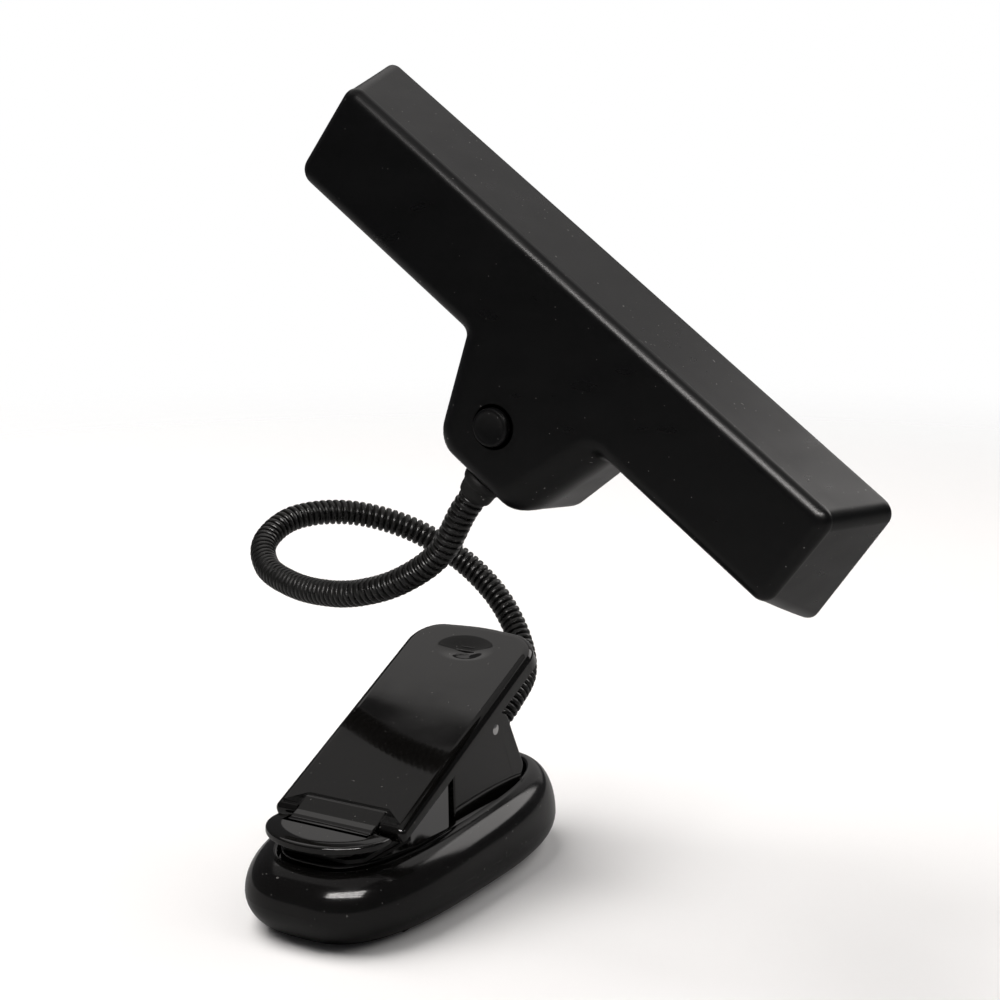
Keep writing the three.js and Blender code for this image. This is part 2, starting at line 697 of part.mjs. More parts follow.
// Each length of the neck has a ball at its lower end and a cup for the next ball at its upper end.
function neckSegment(number) {
  const from = number === 0 ? 0 : jointPlaces[number - 1];
  const to = number === neckJoints ? neckLength : jointPlaces[number] - jointRim;
  let segment = tube(from, to, neckRadius, neckSides, 5);
  if (number > 0) segment = segment.add(ball(from, ballRadius));
  if (number < neckJoints) segment = segment.subtract(ball(jointPlaces[number], ballRadius + ballPlay));
  return segment.subtract(tube(from - ballRadius - overcut, to + overcut * 3, neckBore, 8, 5));
}

function neckLead(number) {
  const from = number === 0 ? 0.5 : jointPlaces[number - 1] - ballRadius + 0.4;
  const to = number === neckJoints ? neckLength - 0.5 : jointPlaces[number] - ballRadius - 0.4;
  return tube(from, to, leadRadius, 6, 6);
}

function neckSocket() {
  const bore = neckRadius + fitGap;
  const flange = recessFloor + fitGap / 2;
  const flangeTop = flange + 1.6;
  return turned([
    [bore, neckStart], [socketBarrel, neckStart], [socketBarrel, flange], [socketFlange, flange],
    [socketFlange, flangeTop], [bore + 0.8, flangeTop + 1.6], [bore, flangeTop + 1.6], [bore, neckStart],
  ], 24).translate([socketX, socketY, 0]);
}

function addNeck() {
  for (let number = 0; number <= neckJoints; number += 1) {
    addPiece(lamp, `neck_segment_${number}`, neckSegment(number), materials.blackMetal);
    addPiece(lamp, `neck_lead_${number}`, neckLead(number), materials.cable);
  }
  addPiece(lamp, 'neck_socket', neckSocket(), materials.blackMetal);
}

// ---- head: x along the bar, y out of the lit side, z up; its pieces are moulded along Z, then tipped ----

const headOutline = roundedOutline(headHalfLength, headHalfHeight, headCorner, 3);

// Moulded pieces of the head: the profile's height becomes the depth from the back face. The section drops
// and leans as it goes, so that the open side is lower than the back and its lower edge stands further out.
function headMoulding(profile) {
  return moulded(headOutline, profile).rotate([-90, 0, 0]).warp((corner) => {
    const share = corner[1] / headDepth;
    const height = corner[2];
    corner[2] = height - headDrop * share;
    corner[1] -= headLean * height * share;
  });
}

// How far in the housing's inner wall is at a given depth.
function innerWall(depth) {
  return headWall - ((depth - headEdge) * headFlare) / (headDepth - headEdge);
}

function stubOutline(inset) {
  const bottom = -stubReach + inset;
  const [top, low] = [stubHalfTop - inset, stubHalfBottom - inset];
  const corner = 5;
  const [root, shoulder] = [4 - headHalfHeight, -2 - headHalfHeight];
  return [
    [stubX - top - 3, root], [stubX - top, shoulder], [stubX - low, bottom + corner],
    ...arc([stubX - low + corner, bottom + corner], corner, 200, 270, 4),
    ...arc([stubX + low - corner, bottom + corner], corner, 270, 340, 4),
    [stubX + low, bottom + corner], [stubX + top, shoulder], [stubX + top + 3, root],
  ];
}

// The stem of the head between two depths, a given distance in from its edge. It widens with its depth.
function stem(inset, from, to) {
  return slab(stubOutline(inset), -to, -from).rotate([90, 0, 0]).warp((corner) => {
    const share = corner[1] / stubDepth;
    const down = THREE.MathUtils.clamp((-headHalfHeight - corner[2]) / (stubReach - headHalfHeight), 0, 1);
    corner[0] += Math.sign(corner[0] - stubX) * stubFlare * share * (0.4 + 0.6 * down);
    corner[2] -= stubDrop * share * down;
  });
}

function headHousing() {
  const lip = -headFlare;
  let shell = headMoulding([
    [null, 0], [headEdge, 0], [headEdge * 0.42, headEdge * 0.16], [headEdge * 0.08, headEdge * 0.5],
    [0, headEdge], [lip, headDepth], [null, headDepth],
  ]);
  shell = shell.add(stem(0, 0, stubDepth));
  const cavity = headMoulding([
    [null, headWall], [headWall + 2, headWall], [headWall, headEdge + 1],
    [innerWall(headDepth + overcut), headDepth + overcut], [null, headDepth + overcut],
  ]);
  shell = shell.subtract(cavity).subtract(stem(headWall, headWall, stubDepth - headWall));
  for (const side of [-1, 1]) {
    const place = side * headScrewX;
    const [start, end] = [[place, headWall, 0], [place, boardStart + overcut, 0]];
    shell = shell.add(bar([place, headWall / 2, 0], [place, boardStart - fitGap, 0], headScrewPillar, 16));
    shell = shell.subtract(bar(start, end, headScrewRadius + runningGap, 12));
  }
  const [outside, inside] = [[buttonX, -overcut, buttonZ], [buttonX, headWall + overcut, buttonZ]];
  shell = shell.subtract(bar(outside, inside, buttonRadius + fitGap));
  const seat = [neckX, neckDepth, -collarSeat];
  const clear = [neckX, neckDepth, -collarSeat - collarLength];
  shell = shell.subtract(bar(seat, clear, collarRadius + 3 * fitGap));
  return shell.subtract(bar(seat, [neckX, neckDepth, overcut + headWall - stubReach], neckRadius + fitGap));
}

function headBezel() {
  const start = headDepth - bezelThickness;
  const outer = innerWall(start) + fitGap;
  const inner = outer + bezelWidth;
  return headMoulding([
    [outer, start], [outer, headDepth], [inner, headDepth], [inner, start], [outer, start],
  ]);
}

function diffuserLens() {
  const front = headDepth - bezelThickness - fitGap;
  const edge = innerWall(front - lensThickness) + fitGap;
  const back = front - lensThickness;
  return headMoulding([[null, back], [edge, back], [edge, front], [null, front]]);
}

function reflector() {
  const front = headDepth - bezelThickness - lensThickness - 2 * fitGap;
  const back = boardStart + boardThickness + headLean * boardHalfHeight + fitGap;
  const [wide, narrow] = [innerWall(front) + fitGap, innerWall(back) + 3];
  const skin = 0.9;
  return headMoulding([
    [wide, front], [narrow, back], [narrow + skin, back], [wide + skin, front], [wide, front],
  ]);
}

function ledBoard() {
  let board = block(
    [-boardHalfLength, boardStart, -boardHalfHeight],
    [boardHalfLength, boardStart + boardThickness, boardHalfHeight],
  );
  for (const side of [-1, 1]) {
    const place = side * headScrewX;
    const back = [place, boardStart - overcut, 0];
    const front = [place, boardStart + boardThickness + overcut, 0];
    board = board.subtract(bar(back, front, headScrewRadius + fitGap, 12));
  }
  return board;
}

function headLed() {
  const body = ledHeight - ledRadius;
  return turned([
    [0, 0], [ledRadius + 0.4, 0], [ledRadius + 0.4, 1], [ledRadius, 1],
    ...arc([0, body], ledRadius, 0, 90, 3),
  ], 10).rotate([-90, 0, 0]);
}

function pushButton() {
  return turned([
    [0, -buttonProud], [buttonRadius - 0.9, -buttonProud], [buttonRadius, -buttonProud + 0.7],
    [buttonRadius, headWall + fitGap], [buttonRadius + buttonFlange, headWall + fitGap],
    [buttonRadius + buttonFlange, headWall + 1.3], [2, headWall + 1.3], [2, buttonStem], [0, buttonStem],
  ], 28).rotate([-90, 0, 0]).translate([buttonX, 0, buttonZ]);
}

function addHead() {
  addPiece(head, 'head_housing', headHousing(), materials.satinBlack);
  addPiece(head, 'head_bezel', headBezel(), materials.satinBlack);
  addPiece(head, 'diffuser_lens', diffuserLens(), materials.lens);
  addPiece(head, 'reflector', reflector(), materials.white);
  addPiece(head, 'led_board', ledBoard(), materials.white);
  const onBoard = boardStart + boardThickness + fitGap / 3;
  for (let number = 1; number <= ledCount; number += 1) {
    const x = (number - (ledCount + 1) / 2) * ledPitch;
    addPiece(head, `led_${number}`, headLed().translate([x, onBoard, 0]), materials.led);
  }
  for (const [place, side] of [['left', -1], ['right', 1]]) {
    const screw = turned([
      [0, boardStart - 5], [headScrewRadius, boardStart - 5], [headScrewRadius, onBoard],
      [headScrewRadius * 2, onBoard], [headScrewRadius * 1.5, onBoard + 1.2], [0, onBoard + 1.2],
    ], 12).rotate([-90, 0, 0]);
    addPiece(head, `head_screw_${place}`, screw.translate([side * headScrewX, 0, 0]), materials.chrome);
  }
  const switchStart = buttonStem + 1.6;
  const [switchHalfX, switchHalfZ, switchDepth] = [4.5, 4, 7];
  const plunger = bar([buttonX, switchStart - fitGap, buttonZ], [buttonX, switchStart + 1, buttonZ], 1.6, 12);
  const switchBody = block(
    [buttonX - switchHalfX, switchStart, buttonZ - switchHalfZ],
    [buttonX + switchHalfX, switchStart + switchDepth, buttonZ + switchHalfZ],
  ).add(plunger);
  addPiece(head, 'switch_body', switchBody, materials.rubber);
  addPiece(head, 'push_button', pushButton(), materials.satinBlack);
  addCollar();
}

function addCollar() {
  const bore = neckRadius + runningGap * 2;
  const collar = turned([
    [bore, -collarLength], [collarRadius - 0.5, -collarLength], [collarRadius, -collarLength + 0.6],
    [collarRadius, -1.5], [collarRadius + 0.5, -1], [collarRadius + 0.5, -fitGap], [bore, -fitGap],
    [bore, -collarLength],
  ], 24);
  addPiece(head, 'neck_collar', collar.translate([neckX, neckDepth, -collarSeat]), materials.blackMetal);
  const flat = nutAcross / 2 / Math.cos(Math.PI / 6);
  const nutLow = -stubReach + headWall + fitGap;
  const nutHigh = nutLow + nutThickness;
  const nut = bar([neckX, neckDepth, nutLow], [neckX, neckDepth, nutHigh], flat, 6)
    .subtract(bar([neckX, neckDepth, nutLow - overcut], [neckX, neckDepth, nutHigh + overcut], bore));
  addPiece(head, 'collar_nut', nut, materials.chrome);
}

addBase();
addBatteries();
addClip();
addNeck();
addHead();

export default lamp;
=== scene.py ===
import json
import math

import bmesh
import bpy
import numpy as np
from mathutils import Matrix, Vector

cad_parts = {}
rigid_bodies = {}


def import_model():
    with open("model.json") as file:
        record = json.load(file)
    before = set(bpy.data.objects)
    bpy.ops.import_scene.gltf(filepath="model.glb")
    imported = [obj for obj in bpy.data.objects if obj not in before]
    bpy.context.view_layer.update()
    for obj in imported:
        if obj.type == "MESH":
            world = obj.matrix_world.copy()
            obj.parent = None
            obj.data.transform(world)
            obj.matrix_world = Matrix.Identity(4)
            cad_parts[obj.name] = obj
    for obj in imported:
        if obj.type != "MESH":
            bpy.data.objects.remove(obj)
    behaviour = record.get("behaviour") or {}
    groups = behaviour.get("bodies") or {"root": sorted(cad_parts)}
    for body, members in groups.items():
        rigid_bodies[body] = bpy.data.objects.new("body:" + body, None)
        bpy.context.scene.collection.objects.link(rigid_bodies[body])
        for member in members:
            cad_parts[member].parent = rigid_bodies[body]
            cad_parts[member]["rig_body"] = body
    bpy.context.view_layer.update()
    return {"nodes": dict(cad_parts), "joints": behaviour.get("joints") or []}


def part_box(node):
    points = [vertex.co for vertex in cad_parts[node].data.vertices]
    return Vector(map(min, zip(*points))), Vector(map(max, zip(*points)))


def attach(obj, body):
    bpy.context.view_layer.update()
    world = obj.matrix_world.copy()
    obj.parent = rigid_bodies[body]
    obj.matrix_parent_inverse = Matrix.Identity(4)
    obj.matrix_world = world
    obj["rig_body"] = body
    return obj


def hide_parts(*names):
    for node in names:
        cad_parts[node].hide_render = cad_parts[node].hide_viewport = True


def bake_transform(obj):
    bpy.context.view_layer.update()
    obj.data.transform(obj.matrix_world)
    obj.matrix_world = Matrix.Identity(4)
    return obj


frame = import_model()
joints = {joint["name"]: joint for joint in frame["joints"]}
mm = 0.001  # pieces are drawn in millimetres and scaled to metres when they are placed


def middle(node):
    low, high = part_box(node)
    return (low + high) / 2 / mm


def box(node):
    return [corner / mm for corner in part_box(node)]


def jointPoint(name):
    return Vector(joints[name]["pos_m"]) / mm


def addObject(name, data):
    added = bpy.data.objects.new(name, data)
    bpy.context.scene.collection.objects.link(added)
    return added


view = {
    "place": (0.25187, -0.37913, 0.18709),
    "pitch": 11.17,  # degrees down
    "turn": 30.66,
    "lens": 68.72,
}
stage = {
    "floorColour": (0.93, 0.93, 0.93, 1),
    "floorInGloss": (0.30, 0.30, 0.30, 1),  # how bright the floor looks in the plastic
    "floorRadius": 1.6,
    "middle": (0, 0.1),
    "fadeFrom": 0.3,  # the floor melts into the white surround between these two radii
    "fadeTo": 0.9,
    "surround": (0.56, 0.56, 0.58, 1),
    "surroundStrength": 0.12,
}
# Each light: its place, what it faces, its width and height in metres, and its brightness.
softboxes = {  # seen in the plastic, where they draw the highlights
    "overheadRear": ((-0.25, 0.79, 1.1), (-0.25, 0.79, 0), (1.9, 0.85), 0.75),
    "overheadFront": ((-0.25, -0.1, 1.1), (-0.25, -0.1, 0), (1.9, 0.87), 0.31),
    "rightWall": ((0.62, 1.15, 0.7), (0, 0, 0.1), (0.65, 0.7), 2.7),
    "rearWall": ((-0.45, 1.35, 0.6), (-0.45, 0, 0.6), (1.3, 0.9), 0.34),
    "tubeLow": ((0.5, -0.84, 0.76), (0, 0, 0.08), (1.2, 0.03), 60),
    "tubeMiddle": ((0.5, -0.76, 0.85), (0, 0, 0.08), (1.2, 0.03), 60),
    "tubeHigh": ((0.5, -0.68, 0.94), (0, 0, 0.08), (1.2, 0.03), 60),
}
washes = {  # light the floor and cast the soft shadow
    "leftWash": ((-0.7, -0.2, 1.4), (0, 0, 0), (1.3, 1.3), 5.6),
    "rightWash": ((0.9, 0.5, 1.2), (0, 0, 0), (1.3, 1.3), 2.0),
}
tint = (1, 0.97, 0.95)


def addCamera():
    camera = addObject("camera", bpy.data.cameras.new("camera"))
    camera.data.lens = view["lens"]
    camera.data.sensor_width = 36
    camera.data.clip_start = 0.01
    camera.location = view["place"]
    camera.rotation_euler = (math.radians(90 - view["pitch"]), 0, math.radians(view["turn"]))
    bpy.context.scene.camera = camera


def addLights():
    for name, (spot, facing, size, glow) in {**softboxes, **washes}.items():
        light = bpy.data.lights.new(name, "AREA")
        light.shape = "RECTANGLE"
        light.size, light.size_y = size
        light.energy = glow * math.pi * light.size * light.size_y
        light.color = tint
        lamp = addObject(name, light)
        lamp.location = spot
        lamp.visible_diffuse = name in washes
        lamp.visible_glossy = name in softboxes
        lamp.rotation_euler = (Vector(facing) - Vector(spot)).to_track_quat("-Z", "Y").to_euler()


# Sets a node's sockets to numbers and colours, or links them to other nodes' outputs.
def setSockets(tree, node, sockets):
    for name, value in sockets.items():
        if isinstance(value, bpy.types.NodeSocket):
            tree.links.new(value, node.inputs[name])
        else:
            node.inputs[name].default_value = value


def shaderNode(tree, kind, sockets=None):
    node = tree.nodes.new("ShaderNode" + kind)
    setSockets(tree, node, sockets or {})
    return node


def mixShader(tree, share, first, second):
    mix = tree.nodes.new("ShaderNodeMixShader")
    for index, socket in enumerate((share, first, second)):
        tree.links.new(socket, mix.inputs[index])
    return mix.outputs["Shader"]


def addWorld():
    world = bpy.data.worlds.new("studio")
    world.use_nodes = True
    tree = world.node_tree
    tree.nodes.clear()
    seen = shaderNode(tree, "Background", {"Color": (1, 1, 1, 1), "Strength": 1.0})
    glow = stage["surroundStrength"]
    around = shaderNode(tree, "Background", {"Color": stage["surround"], "Strength": glow})
    toLens = shaderNode(tree, "LightPath").outputs["Is Camera Ray"]
    mixed = mixShader(tree, toLens, around.outputs["Background"], seen.outputs["Background"])
    shaderNode(tree, "OutputWorld", {"Surface": mixed})
    bpy.context.scene.world = world
    bpy.context.scene.view_settings.view_transform = "Standard"


def floorPaint():
    paint = bpy.data.materials.new("floorPaint")
    paint.use_nodes = True
    tree = paint.node_tree
    tree.nodes.remove(tree.nodes["Principled BSDF"])
    seen = shaderNode(tree, "BsdfDiffuse", {"Color": stage["floorColour"]})
    glossed = shaderNode(tree, "BsdfDiffuse", {"Color": stage["floorInGloss"]})
    inGloss = shaderNode(tree, "LightPath").outputs["Is Glossy Ray"]
    picked = mixShader(tree, inGloss, seen.outputs["BSDF"], glossed.outputs["BSDF"])
    clear = shaderNode(tree, "BsdfTransparent").outputs["BSDF"]
    distance = tree.nodes.new("ShaderNodeVectorMath")
    distance.operation = "LENGTH"
    tree.links.new(shaderNode(tree, "TexCoord").outputs["Object"], distance.inputs[0])
    fade = shaderNode(tree, "MapRange", {
        "Value": distance.outputs["Value"], "From Min": stage["fadeFrom"], "From Max": stage["fadeTo"],
        "To Min": 1, "To Max": 0,
    })
    fade.interpolation_type = "SMOOTHSTEP"
    faded = mixShader(tree, fade.outputs["Result"], clear, picked)
    tree.links.new(faded, tree.nodes["Material Output"].inputs["Surface"])
    return paint


def addFloor():
    steps, radius = 96, stage["floorRadius"]
    turns = [2 * math.pi * step / steps for step in range(steps)]
    mesh = bpy.data.meshes.new("floor")
    rim = [(radius * math.cos(turn), radius * math.sin(turn), 0) for turn in turns]
    mesh.from_pydata(rim, [], [tuple(range(steps))])
    mesh.materials.append(floorPaint())
    floor = addObject("floor", mesh)
    floor.location = (*stage["middle"], 0)


addCamera()
addWorld()
addFloor()
addLights()
print("camera and stage ready")


def newFinish(name):
    finish = bpy.data.materials.new(name)
    finish.use_nodes = True
    tree = finish.node_tree
    return finish, tree, tree.nodes["Principled BSDF"], shaderNode(tree, "TexCoord").outputs["Object"]


def noise(tree, spot, size, detail=2.0, stretch=None):
    if stretch:
        spot = shaderNode(tree, "Mapping", {"Vector": spot, "Scale": stretch}).outputs["Vector"]
    texture = shaderNode(tree, "TexNoise", {"Vector": spot, "Scale": 1 / size, "Detail": detail})
    return texture.outputs["Fac"]


def spread(tree, value, low, high, fromLow=0.3, fromHigh=0.7):
    return shaderNode(tree, "MapRange", {
        "Value": value, "From Min": fromLow, "From Max": fromHigh, "To Min": low, "To Max": high,
    }).outputs["Result"]


def mixColour(tree, share, first, second):
    mix = tree.nodes.new("ShaderNodeMix")
    mix.data_type = "RGBA"
    first, second = ((*shade, 1) if isinstance(shade, tuple) else shade for shade in (first, second))
    setSockets(tree, mix, {"Factor": share, "A": first, "B": second})
    return mix.outputs["Result"]


def bumps(tree, *layers):
    sockets = {}
    for height, depth in layers:
        bump = shaderNode(tree, "Bump", {"Strength": 1.0, "Distance": depth, "Height": height, **sockets})
        sockets = {"Normal": bump.outputs["Normal"]}
    return sockets["Normal"]


# Moulded plastic: a fine eroded texture, patches that hands have polished, and a few specks of dust.
def plastic(name, look):
    finish, tree, shader, spot = newFinish(name)
    patches = noise(tree, spot, look["patchSize"], 3)
    body = mixColour(tree, patches, look["colour"], look["paler"])
    specks = noise(tree, spot, look["speckSize"], 0)
    dust = spread(tree, specks, 0, look["dust"], look["speckStart"], look["speckStart"] + 0.03)
    scuffs = noise(tree, spot, look["patchSize"] * 0.4, 6, (1, 1, 2.5))
    grain = noise(tree, spot, look["grainSize"], 2)
    wave = noise(tree, spot, look["waveSize"], 1)
    setSockets(tree, shader, {
        "Base Color": mixColour(tree, dust, body, (0.55, 0.54, 0.52)),
        "Roughness": spread(tree, scuffs, *look["roughness"]),
        "Normal": bumps(tree, (grain, look["grainDepth"]), (wave, look["waveDepth"])),
        "Specular IOR Level": look["specular"],
    })
    return finish


def metal(name, look):
    finish, tree, shader, spot = newFinish(name)
    stains = noise(tree, spot, look["stainSize"], 4)
    brushed = noise(tree, spot, look["brushSize"], 3, look["brushStretch"])
    setSockets(tree, shader, {
        "Base Color": mixColour(tree, stains, look["colour"], look["darker"]),
        "Roughness": spread(tree, brushed, *look["roughness"]),
        "Normal": bumps(tree, (brushed, look["brushDepth"])),
        "Metallic": look["metallic"],
    })
    return finish


dustLook = {"speckSize": 0.0007, "speckStart": 0.84, "dust": 0.15}
satinLook = {
    "colour": (0.0022, 0.0023, 0.0026), "paler": (0.0036, 0.0036, 0.0038), "patchSize": 0.03,
    "roughness": (0.27, 0.34), "specular": 0.3, "grainSize": 0.00028, "grainDepth": 0.000010,
    "waveSize": 0.02, "waveDepth": 0.00004, **dustLook, "speckStart": 0.83, "dust": 0.22,
}
baseLook = {
    "colour": (0.0034, 0.0033, 0.0033), "paler": (0.0060, 0.0057, 0.0054), "patchSize": 0.025,
    "roughness": (0.1, 0.16), "specular": 0.36, "grainSize": 0.0003, "grainDepth": 0.000004,
    "waveSize": 0.015, "waveDepth": 0.00002, **dustLook, "dust": 0.2,
}
glossLook = {
    "colour": (0.0032, 0.0030, 0.0028), "paler": (0.0050, 0.0047, 0.0043), "patchSize": 0.03,
    "roughness": (0.04, 0.09), "specular": 0.5, "grainSize": 0.0015, "grainDepth": 0.0000006,
    "waveSize": 0.012, "waveDepth": 0.000008, **dustLook,
}
rubberLook = {
    "colour": (0.0055, 0.0055, 0.0054), "paler": (0.0100, 0.0098, 0.0094), "patchSize": 0.006,
    "roughness": (0.5, 0.65), "specular": 0.3, "grainSize": 0.0004, "grainDepth": 0.00002,
    "waveSize": 0.004, "waveDepth": 0.00001, "speckSize": 0.0008, "speckStart": 0.82, "dust": 0.25,
}
neckLook = {
    "colour": (0.0045, 0.0044, 0.0042), "paler": (0.0090, 0.0086, 0.0080), "patchSize": 0.006,
    "roughness": (0.24, 0.36), "specular": 0.5, "grainSize": 0.0004, "grainDepth": 0.000005,
    "waveSize": 0.004, "waveDepth": 0.00001, **dustLook,
}
steelLook = {
    "colour": (0.82, 0.82, 0.82), "darker": (0.62, 0.61, 0.60), "stainSize": 0.003, "metallic": 1.0,
    "roughness": (0.1, 0.24), "brushSize": 0.0004, "brushStretch": (0.2, 3, 3), "brushDepth": 0.000003,
}
springLook = {
    "colour": (0.56, 0.55, 0.54), "darker": (0.34, 0.33, 0.32), "stainSize": 0.002, "metallic": 1.0,
    "roughness": (0.22, 0.4), "brushSize": 0.0005, "brushStretch": (1, 1, 1), "brushDepth": 0.000004,
}


# Clear moulded lens with fine upright ribs that spread the light.
def clearLens(name):
    finish, tree, shader, spot = newFinish(name)
    ribs = shaderNode(tree, "TexWave", {"Vector": spot, "Scale": 260}).outputs["Fac"]
    setSockets(tree, shader, {
        "Base Color": (0.95, 0.97, 0.98, 1),
        "Roughness": spread(tree, noise(tree, spot, 0.01, 4), 0.06, 0.16),
        "Normal": bumps(tree, (ribs, 0.00006)),
        "Transmission Weight": 0.9,
        "IOR": 1.49,
    })
    return finish


def whitePlastic(name):
    finish, tree, shader, spot = newFinish(name)
    age = noise(tree, spot, 0.02, 3)
    setSockets(tree, shader, {
        "Base Color": mixColour(tree, age, (0.82, 0.82, 0.80), (0.72, 0.71, 0.67)),
        "Roughness": spread(tree, age, 0.2, 0.34),
        "Normal": bumps(tree, (noise(tree, spot, 0.0006, 2), 0.00001)),
    })
    return finish


# A white-masked circuit board with faint copper tracks under the mask.
def circuitBoard(name):
    finish, tree, shader, spot = newFinish(name)
    tracks = shaderNode(tree, "TexBrick", {"Vector": spot, "Scale": 120, "Mortar Size": 0.03}).outputs["Fac"]
    setSockets(tree, shader, {
        "Base Color": mixColour(tree, tracks, (0.78, 0.79, 0.76), (0.55, 0.60, 0.52)),
        "Roughness": 0.35,
        "Normal": bumps(tree, (tracks, 0.00003), (noise(tree, spot, 0.0005), 0.000005)),
    })
    return finish


def ledEpoxy(name):
    finish, tree, shader, spot = newFinish(name)
    cloud = noise(tree, spot, 0.002, 2)
    setSockets(tree, shader, {
        "Base Color": mixColour(tree, cloud, (0.96, 0.93, 0.78), (0.90, 0.88, 0.70)),
        "Roughness": spread(tree, cloud, 0.03, 0.08),
        "Transmission Weight": 0.55,
        "IOR": 1.5,
    })
    return finish


# A battery's printed jacket: a coloured sleeve with a dark band, bare metal at both ends.
def cellJacket(name):
    finish, tree, shader, spot = newFinish(name)
    fromMiddle = tree.nodes.new("ShaderNodeMath")
    fromMiddle.operation = "ABSOLUTE"
    split = shaderNode(tree, "SeparateXYZ", {"Vector": spot})
    tree.links.new(split.outputs["Y"], fromMiddle.inputs[0])
    band = spread(tree, fromMiddle.outputs["Value"], 0, 1, 0.0135, 0.0137)
    bare = spread(tree, fromMiddle.outputs["Value"], 0, 1, 0.0208, 0.0210)
    sleeve = mixColour(tree, band, (0.02, 0.12, 0.07), (0.015, 0.016, 0.017))
    setSockets(tree, shader, {
        "Base Color": mixColour(tree, bare, sleeve, (0.75, 0.75, 0.74)),
        "Metallic": bare,
        "Roughness": spread(tree, noise(tree, spot, 0.004, 3), 0.22, 0.34),
    })
    return finish


# The red sleeve of a lead, with the slight ripple of extruded plastic.
def leadSleeve(name):
    finish, tree, shader, spot = newFinish(name)
    tone = noise(tree, spot, 0.005, 2)
    setSockets(tree, shader, {
        "Base Color": mixColour(tree, tone, (0.30, 0.012, 0.010), (0.20, 0.008, 0.008)),
        "Roughness": spread(tree, tone, 0.4, 0.55),
        "Normal": bumps(tree, (noise(tree, spot, 0.0015), 0.00003)),
    })
    return finish


# Each finish, and the material slot named beside it.
satinBlack = (plastic("satinBlack", satinLook), "satin_black")
baseBlack = (plastic("baseBlack", baseLook), "satin_black")
pianoBlack = (plastic("pianoBlack", glossLook), "gloss_black")
blackRubber = (plastic("blackRubber", rubberLook), "rubber_black")
sleeveRubber = (blackRubber[0], "neck_steel")
neckBlack = (plastic("neckBlack", neckLook), "neck_steel")
brightSteel = (metal("brightSteel", steelLook), "bright_steel")
springSteel = (metal("springSteel", springLook), "spring_steel")
contactSteel = (springSteel[0], "bright_steel")
lensFinish = (clearLens("clearLens"), "clear_lens")
reflectorWhite = (whitePlastic("reflectorWhite"), "reflector_white")
boardFinish = (circuitBoard("boardFinish"), "board_green")
ledFinish = (ledEpoxy("ledFinish"), "led_lens")
cellFinish = (cellJacket("cellFinish"), "cell_jacket")
leadFinish = (leadSleeve("leadFinish"), "lead_jacket")
print("finishes ready")


def newPiece(name, points, faces):
    mesh = bpy.data.meshes.new(name)
    mesh.from_pydata([tuple(point) for point in points], [], faces)
    mesh.update()
    piece = addObject(name, mesh)
    tidy = bmesh.new()
    tidy.from_mesh(mesh)
    bmesh.ops.remove_doubles(tidy, verts=tidy.verts, dist=1e-5)
    bmesh.ops.recalc_face_normals(tidy, faces=tidy.faces)
    tidy.to_mesh(mesh)
    tidy.free()
    return piece


# Rings with the same number of points, joined in order and closed with a flat face at both ends.
def loft(name, rings):
    count = len(rings[0])
    points = [point for ring in rings for point in ring]
    faces = []
    for level in range(len(rings) - 1):
        for step in range(count):
            here, after = level * count + step, level * count + (step + 1) % count
            faces.append((here, after, after + count, here + count))
    faces.append(tuple(range(count))[::-1])
    last = (len(rings) - 1) * count
    faces.append(tuple(range(last, last + count)))
    return newPiece(name, points, faces)


# The arc that rounds the corner at here, between its two neighbours.
def arcAt(before, here, after, radius, steps):
    before, after = (before - here).normalized(), (after - here).normalized()
    half = before.angle(after) / 2
    centre = here + (before + after).normalized() * radius / math.sin(half)
    start = here + before * radius / math.tan(half) - centre
    side = 1 if before.x * after.y - before.y * after.x < 0 else -1
    points = []
    for step in range(steps + 1):
        turn = side * (math.pi - 2 * half) * step / steps
        cos, sin = math.cos(turn), math.sin(turn)
        points.append(centre + Vector((start.x * cos - start.y * sin, start.x * sin + start.y * cos)))
    return points


# Corners of (x, y, radius), turned into a smooth outline.
def roundCorners(corners, steps=6):
    outline = []
    spots = [Vector(corner[:2]) for corner in corners]
    for index, corner in enumerate(corners):
        outline += arcAt(spots[index - 1], spots[index], spots[(index + 1) % len(spots)], corner[2], steps)
    return outline


# A rectangle's outline with rounded corners.
def roundBox(left, front, right, rear, radius, steps=6):
    return roundCorners([
        (left, front, radius), (right, front, radius), (right, rear, radius), (left, rear, radius),
    ], steps)


# An outline that runs anticlockwise, moved in by a distance.
def moveIn(outline, inset):
    moved = []
    for index, here in enumerate(outline):
        first = (here - outline[index - 1]).normalized()
        second = (outline[(index + 1) % len(outline)] - here).normalized()
        inward = Vector((-first.y - second.y, first.x + second.x)).normalized()
        share = max(inward.dot(Vector((-first.y, first.x))), 0.3)
        moved.append(here + inward * inset / share)
    return moved


# A slab of an outline between two heights, with rounded edges.
def roundedSlab(name, outline, low, high, edge=0.4, steps=4):
    turns = quarterTurns(steps)
    levels = [(edge * 1.15, low)]
    levels += [(edge * (1 - math.sin(turn)), low + edge * (1 - math.cos(turn))) for turn in turns]
    levels += [(edge * (1 - math.sin(turn)), high - edge * (1 - math.cos(turn))) for turn in reversed(turns)]
    levels.append((edge * 1.15, high))
    rings = [[(p.x, p.y, height) for p in moveIn(outline, inset)] for inset, height in levels]
    return loft(name, rings)


# A profile of (radius, height) turned about an upright axis.
def turned(name, profile, steps=48):
    points, faces = [], []
    count = len(profile)
    for step in range(steps):
        turn = 2 * math.pi * step / steps
        points += [(radius * math.cos(turn), radius * math.sin(turn), height) for radius, height in profile]
    for step in range(steps):
        after = (step + 1) % steps
        for level in range(count - 1):
            here, there = step * count + level, after * count + level
            faces.append((here, there, there + 1, here + 1))
    return newPiece(name, points, faces)


moveTo = Matrix.Translation


